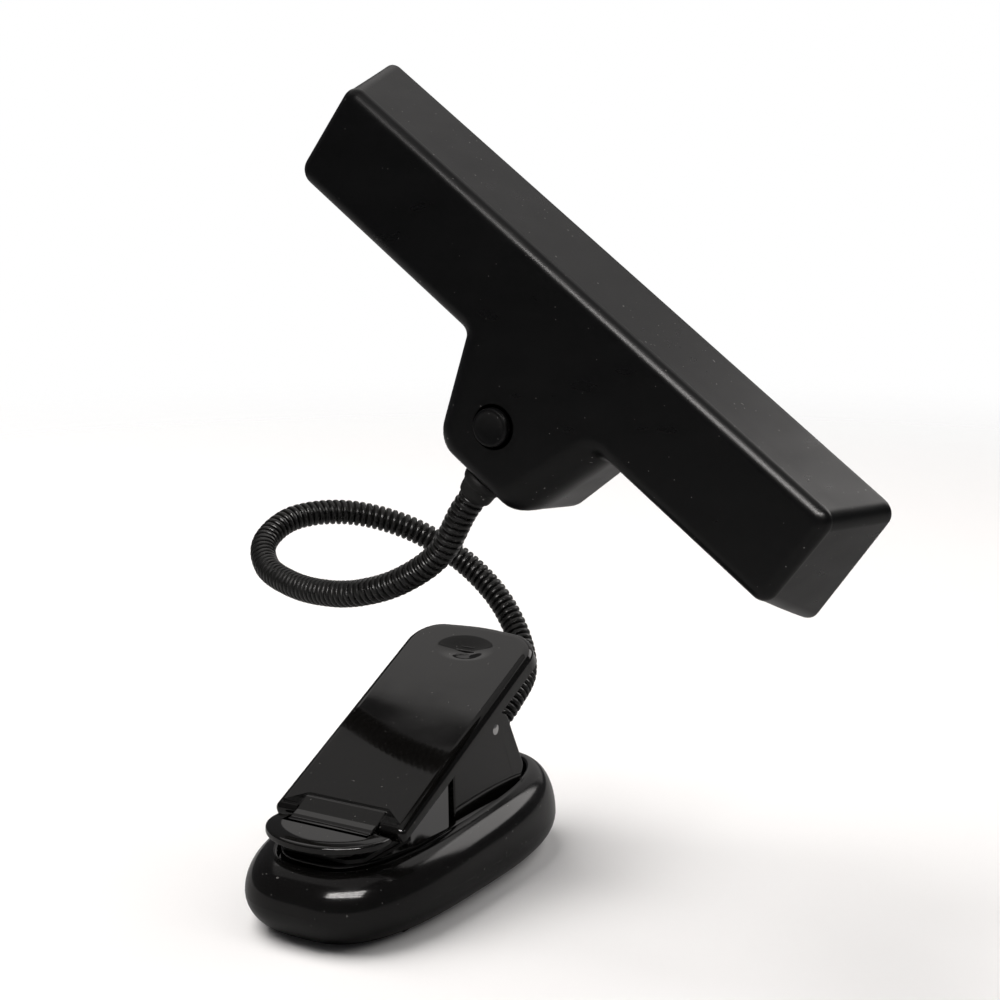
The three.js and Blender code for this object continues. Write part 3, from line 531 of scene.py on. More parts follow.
def quarterTurns(steps):
    return [math.pi / 2 * step / steps for step in range(steps + 1)]


def upright(spot):
    return moveTo((spot.x, spot.y, 0))


def transform(piece, matrix):
    piece.data.transform(matrix)
    piece.data.update()
    return piece


def combine(piece, other, operation):
    step = piece.modifiers.new("step", "BOOLEAN")
    step.operation = operation
    step.solver = "MANIFOLD"
    step.object = other
    applyModifiers(piece)
    bpy.data.objects.remove(other)
    return piece


def applyModifiers(piece):
    bpy.context.view_layer.update()
    evaluated = piece.evaluated_get(bpy.context.evaluated_depsgraph_get())
    mesh = bpy.data.meshes.new_from_object(evaluated)
    piece.modifiers.clear()
    piece.data = mesh
    return piece


def cut(piece, cutter):
    return combine(piece, cutter, "DIFFERENCE")


def join(piece, other):
    return combine(piece, other, "UNION")


# Rounds the sharp edges that a cut has left.
def softenEdges(piece, width, degrees=40, segments=2):
    bevel = piece.modifiers.new("edges", "BEVEL")
    bevel.width = width
    bevel.segments = segments
    bevel.limit_method = "ANGLE"
    bevel.angle_limit = math.radians(degrees)
    bevel.use_clamp_overlap = True
    return applyModifiers(piece)


def shadeSmooth(piece, degrees):
    mesh = piece.data
    shading = bmesh.new()
    shading.from_mesh(mesh)
    limit = math.radians(degrees)
    for face in shading.faces:
        face.smooth = True
    for edge in shading.edges:
        edge.smooth = len(edge.link_faces) == 2 and edge.calc_face_angle(0) < limit
    shading.to_mesh(mesh)
    shading.free()
    weighted = piece.modifiers.new("weighted", "WEIGHTED_NORMAL")  # keeps broad flat faces flat
    weighted.mode = "FACE_AREA"
    weighted.weight = 100
    weighted.keep_sharp = True
    applyModifiers(piece)


# Scales a piece to metres and gives it its finish. Given one body it ties the piece to that body; given two,
# it bakes the piece's place into its mesh.
def place(piece, finish, body, nodes, degrees=32):
    transform(piece, Matrix.Scale(mm, 4))
    shadeSmooth(piece, degrees)
    material, slot = finish
    piece.data.materials.clear()
    piece.data.materials.append(material)
    if isinstance(body, str):
        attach(piece, body)
    else:
        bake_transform(piece)
    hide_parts(*nodes)
    return piece


# A copy of a CAD node with its corners welded and its edges rounded.
def refined(node, name, width, segments=2):
    source = frame["nodes"][node]
    points = [vertex.co / mm for vertex in source.data.vertices]
    faces = [tuple(face.vertices) for face in source.data.polygons]
    piece = newPiece(name, points, faces)
    flat = bmesh.new()
    flat.from_mesh(piece.data)
    bmesh.ops.dissolve_limit(flat, angle_limit=math.radians(1), verts=flat.verts, edges=flat.edges)
    flat.to_mesh(piece.data)
    flat.free()
    return softenEdges(piece, width, 30, segments)


def placeRefined(node, name, width, finish, body, segments=2):
    place(refined(node, name, width, segments), finish, body, [node])


base = {
    "exponent": 3.0,
    "taper": 0.025,
    "around": 144,  # points round the outline
    "crest": 19.9,  # height of the rim half way along
    "rise": 0.045,  # slope of the rim to the rear
    "rimEdge": 6.6,
    "lip": 0.9,
    "recessFloor": 15.6,
    "wall": 2.0,
    "floor": 2.6,
    "footEdge": 9.5,
    "seamChamfer": 0.32,
}
lowerLow, lowerHigh = box("base_lower_shell")
upperLow, upperHigh = box("base_upper_shell")
baseHalfLength = lowerHigh.y
baseHalfWidth = 25.5


def basePoint(turn, inset, height, rise=0.0):
    bend = 2 / base["exponent"]
    cos, sin = math.cos(turn), math.sin(turn)
    across = math.copysign(abs(cos) ** bend, cos)
    along = math.copysign(abs(sin) ** bend, sin)
    x = (baseHalfWidth - inset) * across * (1 + base["taper"] * along)
    y = (baseHalfLength - inset) * along
    return Vector((x, y, height + rise * base["rise"] * y))


def baseRing(inset, height, rise=0.0):
    # Steps crowd towards the corners, where a superellipse turns fastest.
    turns = [2 * math.pi * step / base["around"] for step in range(base["around"])]
    return [basePoint(turn - 0.18 * math.sin(4 * turn) / 2, inset, height, rise) for turn in turns]


def lowerBase():
    seam = lowerHigh.z
    chamfer = base["seamChamfer"]
    rings = [baseRing(base["footEdge"] + 0.8, 0)]
    for turn in quarterTurns(10):
        height = (seam - chamfer) * (1 - math.cos(turn))
        rings.append(baseRing(base["footEdge"] * (1 - math.sin(turn)), height))
    rings += [baseRing(chamfer, seam), baseRing(base["wall"], seam), baseRing(base["wall"] + 1, seam / 2)]
    rings += [baseRing(base["footEdge"] - 2, base["floor"] + 0.8), baseRing(base["footEdge"], base["floor"])]
    piece = loft("lowerBase", rings)
    low, high = box("battery_door")
    gap = 0.3
    opening = roundBox(low.x - gap, low.y - gap, high.x + gap, high.y + gap, 1.2)
    cut(piece, roundedSlab("doorRecess", opening, -2, high.z + 0.1, 0.2))
    inner = roundBox(low.x + 1.5, low.y + 1.5, high.x - 1.5, high.y - 5, 0.8)
    cut(piece, roundedSlab("cellOpening", inner, -1, 5, 0.2))
    for node in ("base_screw_front", "base_screw_rear"):
        spot = middle(node)
        well = turned("well", [(0, -2), (3.2, -2), (3.2, -0.2), (2.9, 0.3), (2.9, 1.5), (0, 1.5)])
        cut(piece, transform(well, upright(spot)))
    softenEdges(piece, 0.12, 50)
    place(piece, baseBlack, "base", ["base_lower_shell"])


def upperBase():
    seam = upperLow.z
    chamfer = base["seamChamfer"]
    crest = base["crest"]
    rings = [baseRing(base["rimEdge"] + base["lip"] + 1, base["recessFloor"] - 2)]
    rings += [baseRing(base["wall"] + 1.6, seam + 4.6), baseRing(base["wall"], seam), baseRing(chamfer, seam)]
    for turn in quarterTurns(16):
        share = math.sin(turn)
        height = seam + chamfer + (crest - seam - chamfer) * share
        rings.append(baseRing(base["rimEdge"] * (1 - math.cos(turn)), height, share))
    recess = base["rimEdge"] + base["lip"]
    floor = base["recessFloor"]
    rings += [
        baseRing(base["rimEdge"] + 0.35, crest - 0.08, 1), baseRing(base["rimEdge"] + 0.62, crest - 0.3, 1),
        baseRing(base["rimEdge"] + 0.76, crest - 0.7, 1), baseRing(recess, floor + 0.5),
        baseRing(recess + 0.2, floor + 0.12), baseRing(recess + 0.6, floor), baseRing(recess + 1, floor),
    ]
    piece = loft("upperBase", rings)
    spot = middle("neck_socket")
    hole = turned("hole", [(0, 8), (4.8, 8), (4.8, 17), (0, 17)])
    cut(piece, transform(hole, upright(spot)))
    low, high = box("power_inlet")
    gap = 0.3
    slot = roundBox(low.x - gap, low.z - gap, high.x + gap, high.z + gap, 0.8)
    cutter = roundedSlab("inletHole", slot, -high.y - 6, -low.y, 0.2)
    cut(piece, transform(cutter, Matrix.Rotation(math.radians(90), 4, "X")))
    softenEdges(piece, 0.1, 55)
    place(piece, baseBlack, "base", ["base_upper_shell"])


def smallBaseParts():
    placeRefined("battery_door", "batteryDoor", 0.12, baseBlack, "base")
    placeRefined("power_inlet", "powerInlet", 0.12, brightSteel, "base")
    for number in (1, 2, 3):
        placeRefined(f"battery_{number}", f"cell{number}", 0.15, cellFinish, "base")
    for end in ("front", "rear"):
        placeRefined(f"battery_contact_{end}", f"contact_{end}", 0.12, contactSteel, "base")
        screw(f"base_screw_{end}", f"baseScrew_{end}", 2.6)
    screw("battery_door_screw", "doorScrew", 1.6)
    spot = middle("neck_socket")
    low, high = box("neck_socket")
    bore = 3.75
    flange = high.z - 3.2
    socket = turned("neckSocket", [
        (bore, low.z), (4.5, low.z), (4.5, flange), (5.4, flange), (5.6, flange + 0.2), (5.6, flange + 1.1),
        (5.45, flange + 1.45), (5.1, flange + 1.65), (4.7, flange + 1.9), (4.45, flange + 2.4),
        (4.3, high.z - 0.3), (4.05, high.z), (bore, high.z), (bore, low.z),
    ])
    transform(socket, upright(spot))
    place(socket, sleeveRubber, "base", ["neck_socket"])


# A cross-headed screw, seen from below: the head's rim is rounded and its cross is cut in.
def screw(node, name, headRadius):
    low, high = box(node)
    spot = middle(node)
    shank = headRadius * 0.46
    headTop = low.z + headRadius * 0.4
    piece = turned(name, [
        (0, low.z), (headRadius * 0.7, low.z), (headRadius * 0.9, low.z + 0.08), (headRadius, low.z + 0.3),
        (headRadius, headTop), (shank, headTop), (shank, high.z - 1), (0, high.z),
    ], 32)
    arm, reach = headRadius * 0.16, headRadius * 0.6
    for x, y in ((arm, reach), (reach, arm)):
        cut(piece, roundedSlab("cross", roundBox(-x, -y, x, y, arm * 0.4, 2), low.z - 1, low.z + 0.45, 0.05))
    transform(piece, upright(spot))
    place(piece, brightSteel, "base", [node])


lowerBase()
upperBase()
smallBaseParts()
print("base ready")


clip = {
    "leverAngle": 25.3,
    "halfWidth": 18.7,
    "top": 9.65,  # of the lever, above its pivot
    "front": -47.3,
    "rear": 26.4,
    "rearBulge": 1.3,
    "rearCorner": 9,
    "edge": 2.2,  # rounding along the lever's sides
    "skin": 2.0,
    "skirt": 2.7,
    "thumbSkirt": 5.7,
    "notchHalf": 12,
    "notchRear": -41,
    "tipHalfWidth": 16.3,
    "earOuter": 16.3,
    "earThickness": 2.0,
    "earFront": -3.4,
    "earRear": 30.5,
}
pivot = jointPoint("clip_pivot")
tipPin = jointPoint("jaw_tip_pivot")
leverTilt = Matrix.Rotation(math.radians(clip["leverAngle"]), 4, "X")
leverMatrix = moveTo((0, pivot.y, pivot.z)) @ leverTilt
alongX = Matrix(((0, 0, 1, 0), (1, 0, 0, 0), (0, 1, 0, 0), (0, 0, 0, 1)))  # an outline's x, y become y, z


def leverOutline():
    wide, front, rear = clip["halfWidth"], clip["front"], clip["rear"]
    corner = clip["rearCorner"]
    return roundCorners([
        (-wide, front, 1.6), (wide, front, 1.6), (wide, rear - 0.4, corner),
        (0, rear + clip["rearBulge"], 60), (-wide, rear - 0.4, corner),
    ], 12)


def smoothStep(value, low, high):
    share = min(max((value - low) / (high - low), 0), 1)
    return share * share * (3 - 2 * share)


def leverRings():
    outline = leverOutline()
    top, edge = clip["top"], clip["edge"]

    def bottom(along):
        deep = clip["thumbSkirt"] * smoothStep(along, 4, 23) + clip["skirt"] * (1 - smoothStep(along, 4, 23))
        nose = 1 - smoothStep(along, -44.5, -41.5)
        return top - deep - 1.0 * nose

    rings = []
    for inset in (1.9, 0.35):
        rings.append([(p.x, p.y, bottom(p.y)) for p in moveIn(outline, inset)])
    rings.append([(p.x, p.y, bottom(p.y) + 0.3) for p in outline])
    for turn in quarterTurns(8):
        inset = edge * (1 - math.cos(turn))
        height = top - edge * (1 - math.sin(turn))
        rings.append([(p.x, p.y, height) for p in moveIn(outline, inset)])
    rings.append([(p.x, p.y, top) for p in moveIn(outline, edge + 0.3)])
    return rings


def clipLever():
    top, skin, wide = clip["top"], clip["skin"], clip["halfWidth"]
    piece = loft("clipLever", leverRings())
    inside, roof = wide - 1.7, top - skin
    hollow = roundCorners([
        (-inside, -42.4, 1), (inside, -42.4, 1),
        (inside, clip["rear"] - 2.2, 7), (-inside, clip["rear"] - 2.2, 7),
    ])
    cut(piece, roundedSlab("hollow", hollow, -6, roof, 0.8))
    notch = roundCorners([
        (-clip["notchHalf"], -60, 0.5), (clip["notchHalf"], -60, 0.5),
        (clip["notchHalf"], clip["notchRear"], 0.7), (-clip["notchHalf"], clip["notchRear"], 0.7),
    ])
    cut(piece, roundedSlab("notch", notch, -10, top + 10, 0.3))
    deep, thumbSpot = 1.15, 17.4
    profile = [(step / 12, -deep * math.cos(step / 12 * math.pi / 2) ** 2) for step in range(13)]
    dish = turned("dish", profile + [(1.0, 1.5), (0, 1.5)], 64)
    transform(dish, moveTo((0, thumbSpot, top + 0.02)) @ Matrix.Diagonal((9.6, 5.6, 1, 1)))
    cut(piece, dish)
    for shift, half in ((-1.5, 2.2), (0, 2.8), (1.5, 2.2)):
        bar = roundBox(-half, -0.3, half, 0.3, 0.28, 3)
        ridge = roundedSlab("ridge", bar, -1.6, 0.28, 0.2)
        transform(ridge, moveTo((0, thumbSpot + shift, top - 1.1)))
        join(piece, ridge)
    lugOuter = clip["earOuter"] - clip["earThickness"] - 0.3
    for side in (-1, 1):
        lug = roundCorners([
            (-7.2, top - 1, 1), (-4.2, 0.4, 3.2), (-2.6, -4.1, 2.6),
            (2.6, -4.1, 2.6), (4.2, 0.4, 3.2), (7.2, top - 1, 1),
        ])
        start = lugOuter - 2 if side > 0 else -lugOuter
        join(piece, transform(roundedSlab("lug", lug, start, start + 2, 0.25), alongX))
    transform(piece, leverMatrix)
    softenEdges(piece, 0.12, 55)
    place(piece, pianoBlack, "clip_arm", ["clip_lever"], 38)


def pin(node, name, body):
    low, high = box(node)
    spot = middle(node)
    radius, half = (high.z - low.z) / 2, (high.x - low.x) / 2
    dome = radius * 0.28
    profile = [
        (0, -half), (radius * 0.6, -half + dome * 0.25), (radius * 0.9, -half + dome * 0.7),
        (radius, -half + dome * 1.3),
    ]
    profile += [(across, -along) for across, along in reversed(profile)]
    piece = turned(name, profile, 32)
    transform(piece, moveTo(spot) @ Matrix.Rotation(math.radians(90), 4, "Y"))
    place(piece, brightSteel, body, [node])


def jawTip():
    low = box("jaw_tip")[0]
    wide = clip["tipHalfWidth"]
    edge, front = tipPin.y - 3, low.y
    steps = 40
    outline = [Vector((-wide, edge)), Vector((-wide, edge - 0.8))]
    for step in range(1, steps):
        turn = math.pi + math.pi * step / steps
        outline.append(Vector((wide * math.cos(turn), edge - 1.5 + (edge - 1.5 - front) * math.sin(turn))))
    outline += [Vector((wide, edge - 0.8)), Vector((wide, edge))]
    plateTop = low.z + 1.8
    rounding = [(0.9, low.z), (0.35, low.z), (0.1, low.z + 0.12), (0, low.z + 0.4), (0, plateTop - 0.55)]
    rounding += [(0.08, plateTop - 0.28), (0.3, plateTop - 0.08), (0.65, plateTop), (1.1, plateTop + 0.04)]
    rounding += [(2.2, plateTop + 0.16), (4.0, plateTop + 0.3)]
    rings = [[(p.x, p.y, height) for p in moveIn(outline, inset)] for inset, height in rounding]
    piece = loft("jawTip", rings)
    half = clip["notchHalf"] - 0.3
    web = roundCorners([
        (edge - 4.5, low.z + 0.3, 0.2), (tipPin.y + 1.2, low.z + 0.3, 1.0),
        (tipPin.y + 3.3, tipPin.z - 0.2, 0.8), (tipPin.y + 3.0, tipPin.z + 3.5, 0.9),
        (tipPin.y + 1.6, tipPin.z + 3.1, 1.5), (tipPin.y - 1.9, tipPin.z + 1.0, 1.8),
        (edge - 0.6, plateTop + 0.9, 0.8), (edge - 1.3, plateTop + 0.45, 0.8),
        (edge - 4.5, plateTop + 0.1, 0.2),
    ])
    join(piece, transform(roundedSlab("knuckle", web, -half, half, 0.45), alongX))
    place(piece, pianoBlack, "swivel_tip", ["jaw_tip"], 38)


# A rubber pad with rounded edges and raised ribs across it that grip.
def gripPad(node, name, body, faceUp):
    low, high = box(node)
    bend = 3
    outline = roundCorners([
        (low.x + bend, low.y, 1.5), (high.x - bend, low.y, 1.5), (high.x, low.y + bend, 1.5),
        (high.x, high.y, 0.8), (low.x, high.y, 0.8), (low.x, low.y + bend, 1.5),
    ])
    ribHeight = 0.35
    bottom, top = (low.z, high.z - ribHeight) if faceUp else (low.z + ribHeight, high.z)
    ribBottom, ribTop = (low.z + 0.3, high.z) if faceUp else (low.z, high.z - 0.3)
    piece = roundedSlab(name, outline, bottom, top, 0.25)
    ribs = int((high.y - low.y - 5) / 2)
    for number in range(ribs):
        y = low.y + 4 + number * 2
        reach = high.x - 1.6
        bar = roundBox(-reach, y - 0.5, reach, y + 0.5, 0.4, 2)
        join(piece, roundedSlab("rib", bar, ribBottom, ribTop, 0.2, 3))
    place(piece, blackRubber, body, [node])


def lowerJaw():
    low = box("clip_lower_jaw")[0]
    inset = base["rimEdge"] + base["lip"] + 0.6
    jawTop = low.z + 3
    levels = [(inset + 0.6, low.z), (inset + 0.3, low.z), (inset, low.z + 0.3), (inset, jawTop - 0.5)]
    levels += [(inset + 0.15, jawTop - 0.15), (inset + 0.5, jawTop), (inset + 1.0, jawTop)]
    piece = loft("lowerJaw", [baseRing(*level) for level in levels])
    crown = 5.6
    for side in (-1, 1):
        ear = roundCorners([
            (clip["earFront"], jawTop - 1.5, 0.4), (clip["earRear"] - 3.5, jawTop - 1.5, 0.4),
            (clip["earRear"], jawTop + 5, 2.0), (pivot.y + crown, pivot.z + 2.6, 4.6),
            (pivot.y - 1.6, pivot.z + crown + 0.5, 4.4), (clip["earFront"] - 0.4, pivot.z - 3.1, 3.0),
        ], 8)
        start = clip["earOuter"] - clip["earThickness"] if side > 0 else -clip["earOuter"]
        join(piece, transform(roundedSlab("ear", ear, start, start + clip["earThickness"], 0.45), alongX))
    spot = middle("neck_socket")
    hole = turned("hole", [(0, low.z - 2), (5.9, low.z - 2), (5.9, jawTop + 2), (0, jawTop + 2)])
    cut(piece, transform(hole, upright(spot)))
    place(piece, pianoBlack, "base", ["clip_lower_jaw"], 38)


# A wound torsion spring: one leg stands on the lower jaw, the other pushes the lever up.
def clipSpring():
    wire, coil, half, turns, reach = 0.62, 3.5, 7.4, 9.25, 10.5
    begin = math.radians(135)
    low = box("clip_spring")[0]

    def wound(share):
        turn = begin + 2 * math.pi * turns * share
        across = -half + 2 * half * share
        return Vector((across, pivot.y + coil * math.cos(turn), pivot.z + coil * math.sin(turn)))

    lowEnd = Vector((-half, low.y + 0.8, low.z + wire))
    path = [lowEnd.lerp(wound(0), step / 8) for step in range(8)]
    steps = int(turns * 28)
    path += [wound(step / steps) for step in range(steps + 1)]
    last = path[-1]
    direction = (last - path[-2]).normalized()
    direction.x = 0
    path += [last + direction * reach * step / 8 for step in range(1, 9)]
    piece = tubeAlong("clipSpring", path, wire, 12)
    start, end = pivot.copy(), pivot.copy()
    start.x, end.x = -half, half
    body = ("base", "clip_arm", tuple(start * mm), tuple(end * mm))
    place(piece, springSteel, body, ["clip_spring"], 60)


def tubeAlong(name, path, radius, sides):
    turns = [2 * math.pi * step / sides for step in range(sides)]
    rings, side = [], None
    for index, here in enumerate(path):
        ahead = (path[min(index + 1, len(path) - 1)] - path[max(index - 1, 0)]).normalized()
        side = (side - ahead * side.dot(ahead)) if side else ahead.orthogonal()
        side.normalize()
        other = ahead.cross(side)
        rings.append([here + (side * math.cos(turn) + other * math.sin(turn)) * radius for turn in turns])
    return loft(name, rings)


lowerJaw()
clipLever()
jawTip()
gripPad("lower_grip_pad", "lowerGripPad", "base", True)
gripPad("upper_grip_pad", "upperGripPad", "swivel_tip", False)
pin("clip_pivot_pin", "pivotPin", "base")
pin("jaw_tip_pin", "tipPin", "clip_arm")
clipSpring()
print("clip ready")


ledRow = (middle("led_9") - middle("led_1")).normalized()
headTilt = math.atan2(-ledRow.z, ledRow.x)
headMiddle = middle("led_5")
headMiddle.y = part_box("head_housing")[0].y / mm
headMatrix = moveTo(headMiddle) @ Matrix.Rotation(headTilt, 4, "Y")
depthwise = Matrix(((1, 0, 0, 0), (0, 0, 1, 0), (0, 1, 0, 0), (0, 0, 0, 1)))  # an outline's x, y become x, z


neck = {
    "radius": 3.45,
    "pitch": 1.82,  # from one turn of the winding to the next
    "around": 40,
    "bendReach": 13,  # how far to each side of a joint the two points given with a winding's two bodies lie
    # the winding's section: share of the pitch, and how far below the outer radius
    "section": [
        (0, 0.8), (0.08, 0.72), (0.15, 0.34), (0.25, 0.1), (0.38, 0.0),
        (0.54, 0.0), (0.68, 0.02), (0.8, 0.14), (0.88, 0.4), (0.94, 0.74),
    ],
    "collarSeat": 40.4,
    "collarLength": 6,
    "entryX": 5,
    "entryDepth": 7.2,
    "end": -35.3,
}
neckBodies = ["base"] + [f"neck_link_{number}" for number in range(1, 7)] + ["head"]
neckRoute = [
    (1, 32.6, 11.5), (1, 32.6, 20), (2.4, 35.4, 28), (4, 44.5, 35.6), (2.4, 54.5, 40.4),
    (-3.4, 62, 47.2), (-13, 66.2, 57.4), (-26, 66.6, 67), (-40.5, 61.6, 75.2), (-54.5, 51.6, 79.6),
    (-63.2, 38.5, 79), (-63.6, 27, 74.6), (-56.4, 18.4, 70.4), (-44, 12, 68.6), (-30, 6.8, 69),
    (-16, 3.2, 71.4), (-3, 2.6, 76.2), (8, 3.4, 84.2),
]


def routeLine():
    end = -neck["collarSeat"] - neck["collarLength"]
    inHead = [(neck["entryX"], neck["entryDepth"], height) for height in (end - 5, end, neck["end"])]
    points = [np.array(point, float) for point in neckRoute]
    points += [np.array(headMatrix @ Vector(point)) for point in inHead]
    perSpan = 80
    line = []
    for span in range(len(points) - 1):
        second, third = points[span], points[span + 1]
        first = points[span - 1] if span else 2 * second - third
        fourth = points[span + 2] if span + 2 < len(points) else 2 * third - second
        gaps = [np.linalg.norm(b - a) ** 0.5 for a, b in ((first, second), (second, third), (third, fourth))]
        before, here, after = gaps
        leave = (second - first) / before - (third - first) / (before + here) + (third - second) / here
        arrive = (third - second) / here - (fourth - second) / (here + after) + (fourth - third) / after
        leave, arrive = leave * here, arrive * here
        for step in range(perSpan):
            t = step / perSpan
            line.append(
                second + leave * t + (3 * (third - second) - 2 * leave - arrive) * t ** 2
                + (2 * (second - third) + leave + arrive) * t ** 3
            )
    line.append(points[-1])
    return np.array(line)


# The neck's centre line, with two directions across it that are carried along without twisting.
def crossedRoute(line):
    steps = np.linalg.norm(np.diff(line, axis=0), axis=1)
    ahead = np.gradient(line, axis=0)
    ahead = ahead / np.linalg.norm(ahead, axis=1)[:, None]
    side, sides = np.array([1.0, 0, 0]), []
    for direction in ahead:
        side = side - direction * side.dot(direction)
        side = side / np.linalg.norm(side)
        sides.append(side)
    sides = np.array(sides)
    lengths = np.concatenate([[0], np.cumsum(steps)])
    return {"line": line, "lengths": lengths, "side": sides, "other": np.cross(ahead, sides)}


# The route's line, side or other at lengths measured along it.
def along(route, what, lengths):
    return np.stack([np.interp(lengths, route["lengths"], values) for values in route[what].T], axis=-1)


# One stretch of the winding, between two turns. Its rows follow the helix, so neighbours meet in a groove.
def winding(name, route, fromTurn, toTurn):
    section, around, pitch = neck["section"], neck["around"], neck["pitch"]
    perTurn = len(section)
    rows = (toTurn - fromTurn) * perTurn
    # the first column goes on for a whole turn more, to meet the last one
    row = np.arange(rows + perTurn + 1)
    start = fromTurn + np.array([section[r % perTurn][0] + r // perTurn for r in row])
    radius = neck["radius"] - np.array([section[r % perTurn][1] for r in row])
    column = np.arange(around)
    lengths = (start[:rows + 1, None] + column[None, :] / around) * pitch
    turn = 2 * np.pi * column / around
    side, other = along(route, "side", lengths), along(route, "other", lengths)
    out = side * np.cos(turn)[None, :, None] + other * np.sin(turn)[None, :, None]
    points = (along(route, "line", lengths) + out * radius[:rows + 1, None, None]).reshape(-1, 3)
    first = len(points)
    beyond = start[rows + 1:] * pitch
    further = along(route, "line", beyond) + along(route, "side", beyond) * radius[rows + 1:, None]
    points = np.vstack([points, further])

    def corner(r, c):
        if c < around:
            return r * around + c
        r += perTurn
        return r * around if r <= rows else first + r - rows - 1

    faces = []
    for r in range(rows):
        for c in range(around):
            faces.append((corner(r, c), corner(r, c + 1), corner(r + 1, c + 1), corner(r + 1, c)))
    startEdge = [corner(0, c) for c in range(around)] + [corner(r, 0) for r in range(perTurn, 0, -1)]
    endEdge = [corner(rows, c) for c in range(around + 1)]
    endEdge += [corner(r, around) for r in range(rows - 1, rows - perTurn, -1)]
    for edge in (startEdge, endEdge):
        hub = len(points)
        points = np.vstack([points, np.mean(points[edge], axis=0)])
        faces += [(edge[k], edge[(k + 1) % len(edge)], hub) for k in range(len(edge))]
    return newPiece(name, points, faces)


def gooseneck():
    route = crossedRoute(routeLine())
    pitch, reach = neck["pitch"], neck["bendReach"]
    joints = [jointPoint(f"neck_bend_{number}") for number in range(1, 8)]
    nearest = [np.argmin(np.linalg.norm(route["line"] - np.array(joint), axis=1)) for joint in joints]
    bends = route["lengths"][nearest]
    lastTurn = int(route["lengths"][-1] / pitch) - 2
    limits = [0] + [round((a + b) / 2 / pitch) for a, b in zip(bends, bends[1:])] + [lastTurn]
    for number, bend in enumerate(bends, 1):
        piece = winding(f"neckWinding{number}", route, limits[number - 1], limits[number])
        start, end = along(route, "line", np.array([bend - reach, bend + reach]))
        body = (neckBodies[number - 1], neckBodies[number], tuple(start * mm), tuple(end * mm))
        nodes = [f"neck_segment_{number - 1}"] + ([f"neck_segment_{number}"] if number == 7 else [])
        place(piece, neckBlack, body, nodes, 24)


gooseneck()
print("gooseneck ready")


head = {
    "halfLength": 77,
    "halfHeight": 13.4,
    "depth": 25.1,
    "flare": 5.6,
    "drop": 2.7,
    "lean": 0.2,
    "corner": 3.8,
    "root": 2.4,  # fillet between the bar and the stem
    "edge": 3.2,  # rounding between the back and the bar's sides
    "wall": 2.0,
    "stemX": 5,
    "stemHalfTop": 23,
    "stemHalfLow": 13.5,
    "stemReach": 39.8,
    "stemCorner": 7.5,
    "stemFlare": 3.7,
    "stemDrop": 1.6,
    "stemDepth": 19,
    "stemEdges": (4.0, 3.0, 7.0),  # rounding along the stem's left side, bottom and right side
    "stemFarEdge": 1.6,
    "buttonRadius": 4.6,
    "buttonProud": 1.8,
}


def teeCorners(depth):
    share = depth / head["depth"]
    grow = head["flare"] * max(depth - head["edge"], 0) / (head["depth"] - head["edge"])
    long, high = head["halfLength"] + grow, head["halfHeight"] + grow
    sink = -head["drop"] * share
    x, deep = head["stemX"], min(depth / head["stemDepth"], 1)
    low = -head["stemReach"] - head["stemDrop"] * deep
    underside = -high + sink

    def half(height):  # of the stem, at a height
        down = (-head["halfHeight"] - height) / (head["stemReach"] - head["halfHeight"])
        widening = head["stemFlare"] * deep * (0.4 + 0.6 * min(max(down, 0), 1))
        return head["stemHalfTop"] + (head["stemHalfLow"] - head["stemHalfTop"]) * down + widening

    return [
        Vector((-long, underside)), Vector((x - half(underside), underside)), Vector((x - half(low), low)),
        Vector((x + half(low), low)), Vector((x + half(underside), underside)), Vector((long, underside)),
        Vector((long, high + sink)), Vector((-long, high + sink)),
    ]


# One ring of the T. Each of its eight stretches has its own inset and depth, and so its own rounding.
def teeRing(insets, depths):
    corners, lines = [teeCorners(depth) for depth in depths], []
    for index in range(8):
        start, end = corners[index][index], corners[index][(index + 1) % 8]
        ahead = (end - start).normalized()
        lines.append((start + Vector((-ahead.y, ahead.x)) * insets[index], ahead))
    meets = []
    for index in range(8):
        (start, ahead), (other, across) = lines[index - 1], lines[index]
        reach = (other - start).cross(across) / ahead.cross(across)
        meets.append(start + ahead * reach)
    ring, steps = [], 8
    for index, here in enumerate(meets):
        inset = (insets[index - 1] + insets[index]) / 2
        if index in (1, 4):
            radius = head["root"] + max(inset, 0)
        else:
            sharp = head["stemCorner"] if index in (2, 3) else head["corner"]
            radius = max(sharp - max(inset, 0) * 0.8, 0.5)
        for step, point in enumerate(arcAt(meets[index - 1], here, meets[(index + 1) % 8], radius, steps)):
            share = smoothStep(step / steps, 0, 1)
            depth = depths[index - 1] + (depths[index] - depths[index - 1]) * share
            slope = head["lean"] * point.y * depth / head["depth"] * smoothStep(depth, 0, 8)
            ring.append((point.x, depth - slope, point.y))
    return ring


def evenRing(inset, depth):
    return teeRing([inset] * 8, [depth] * 8)


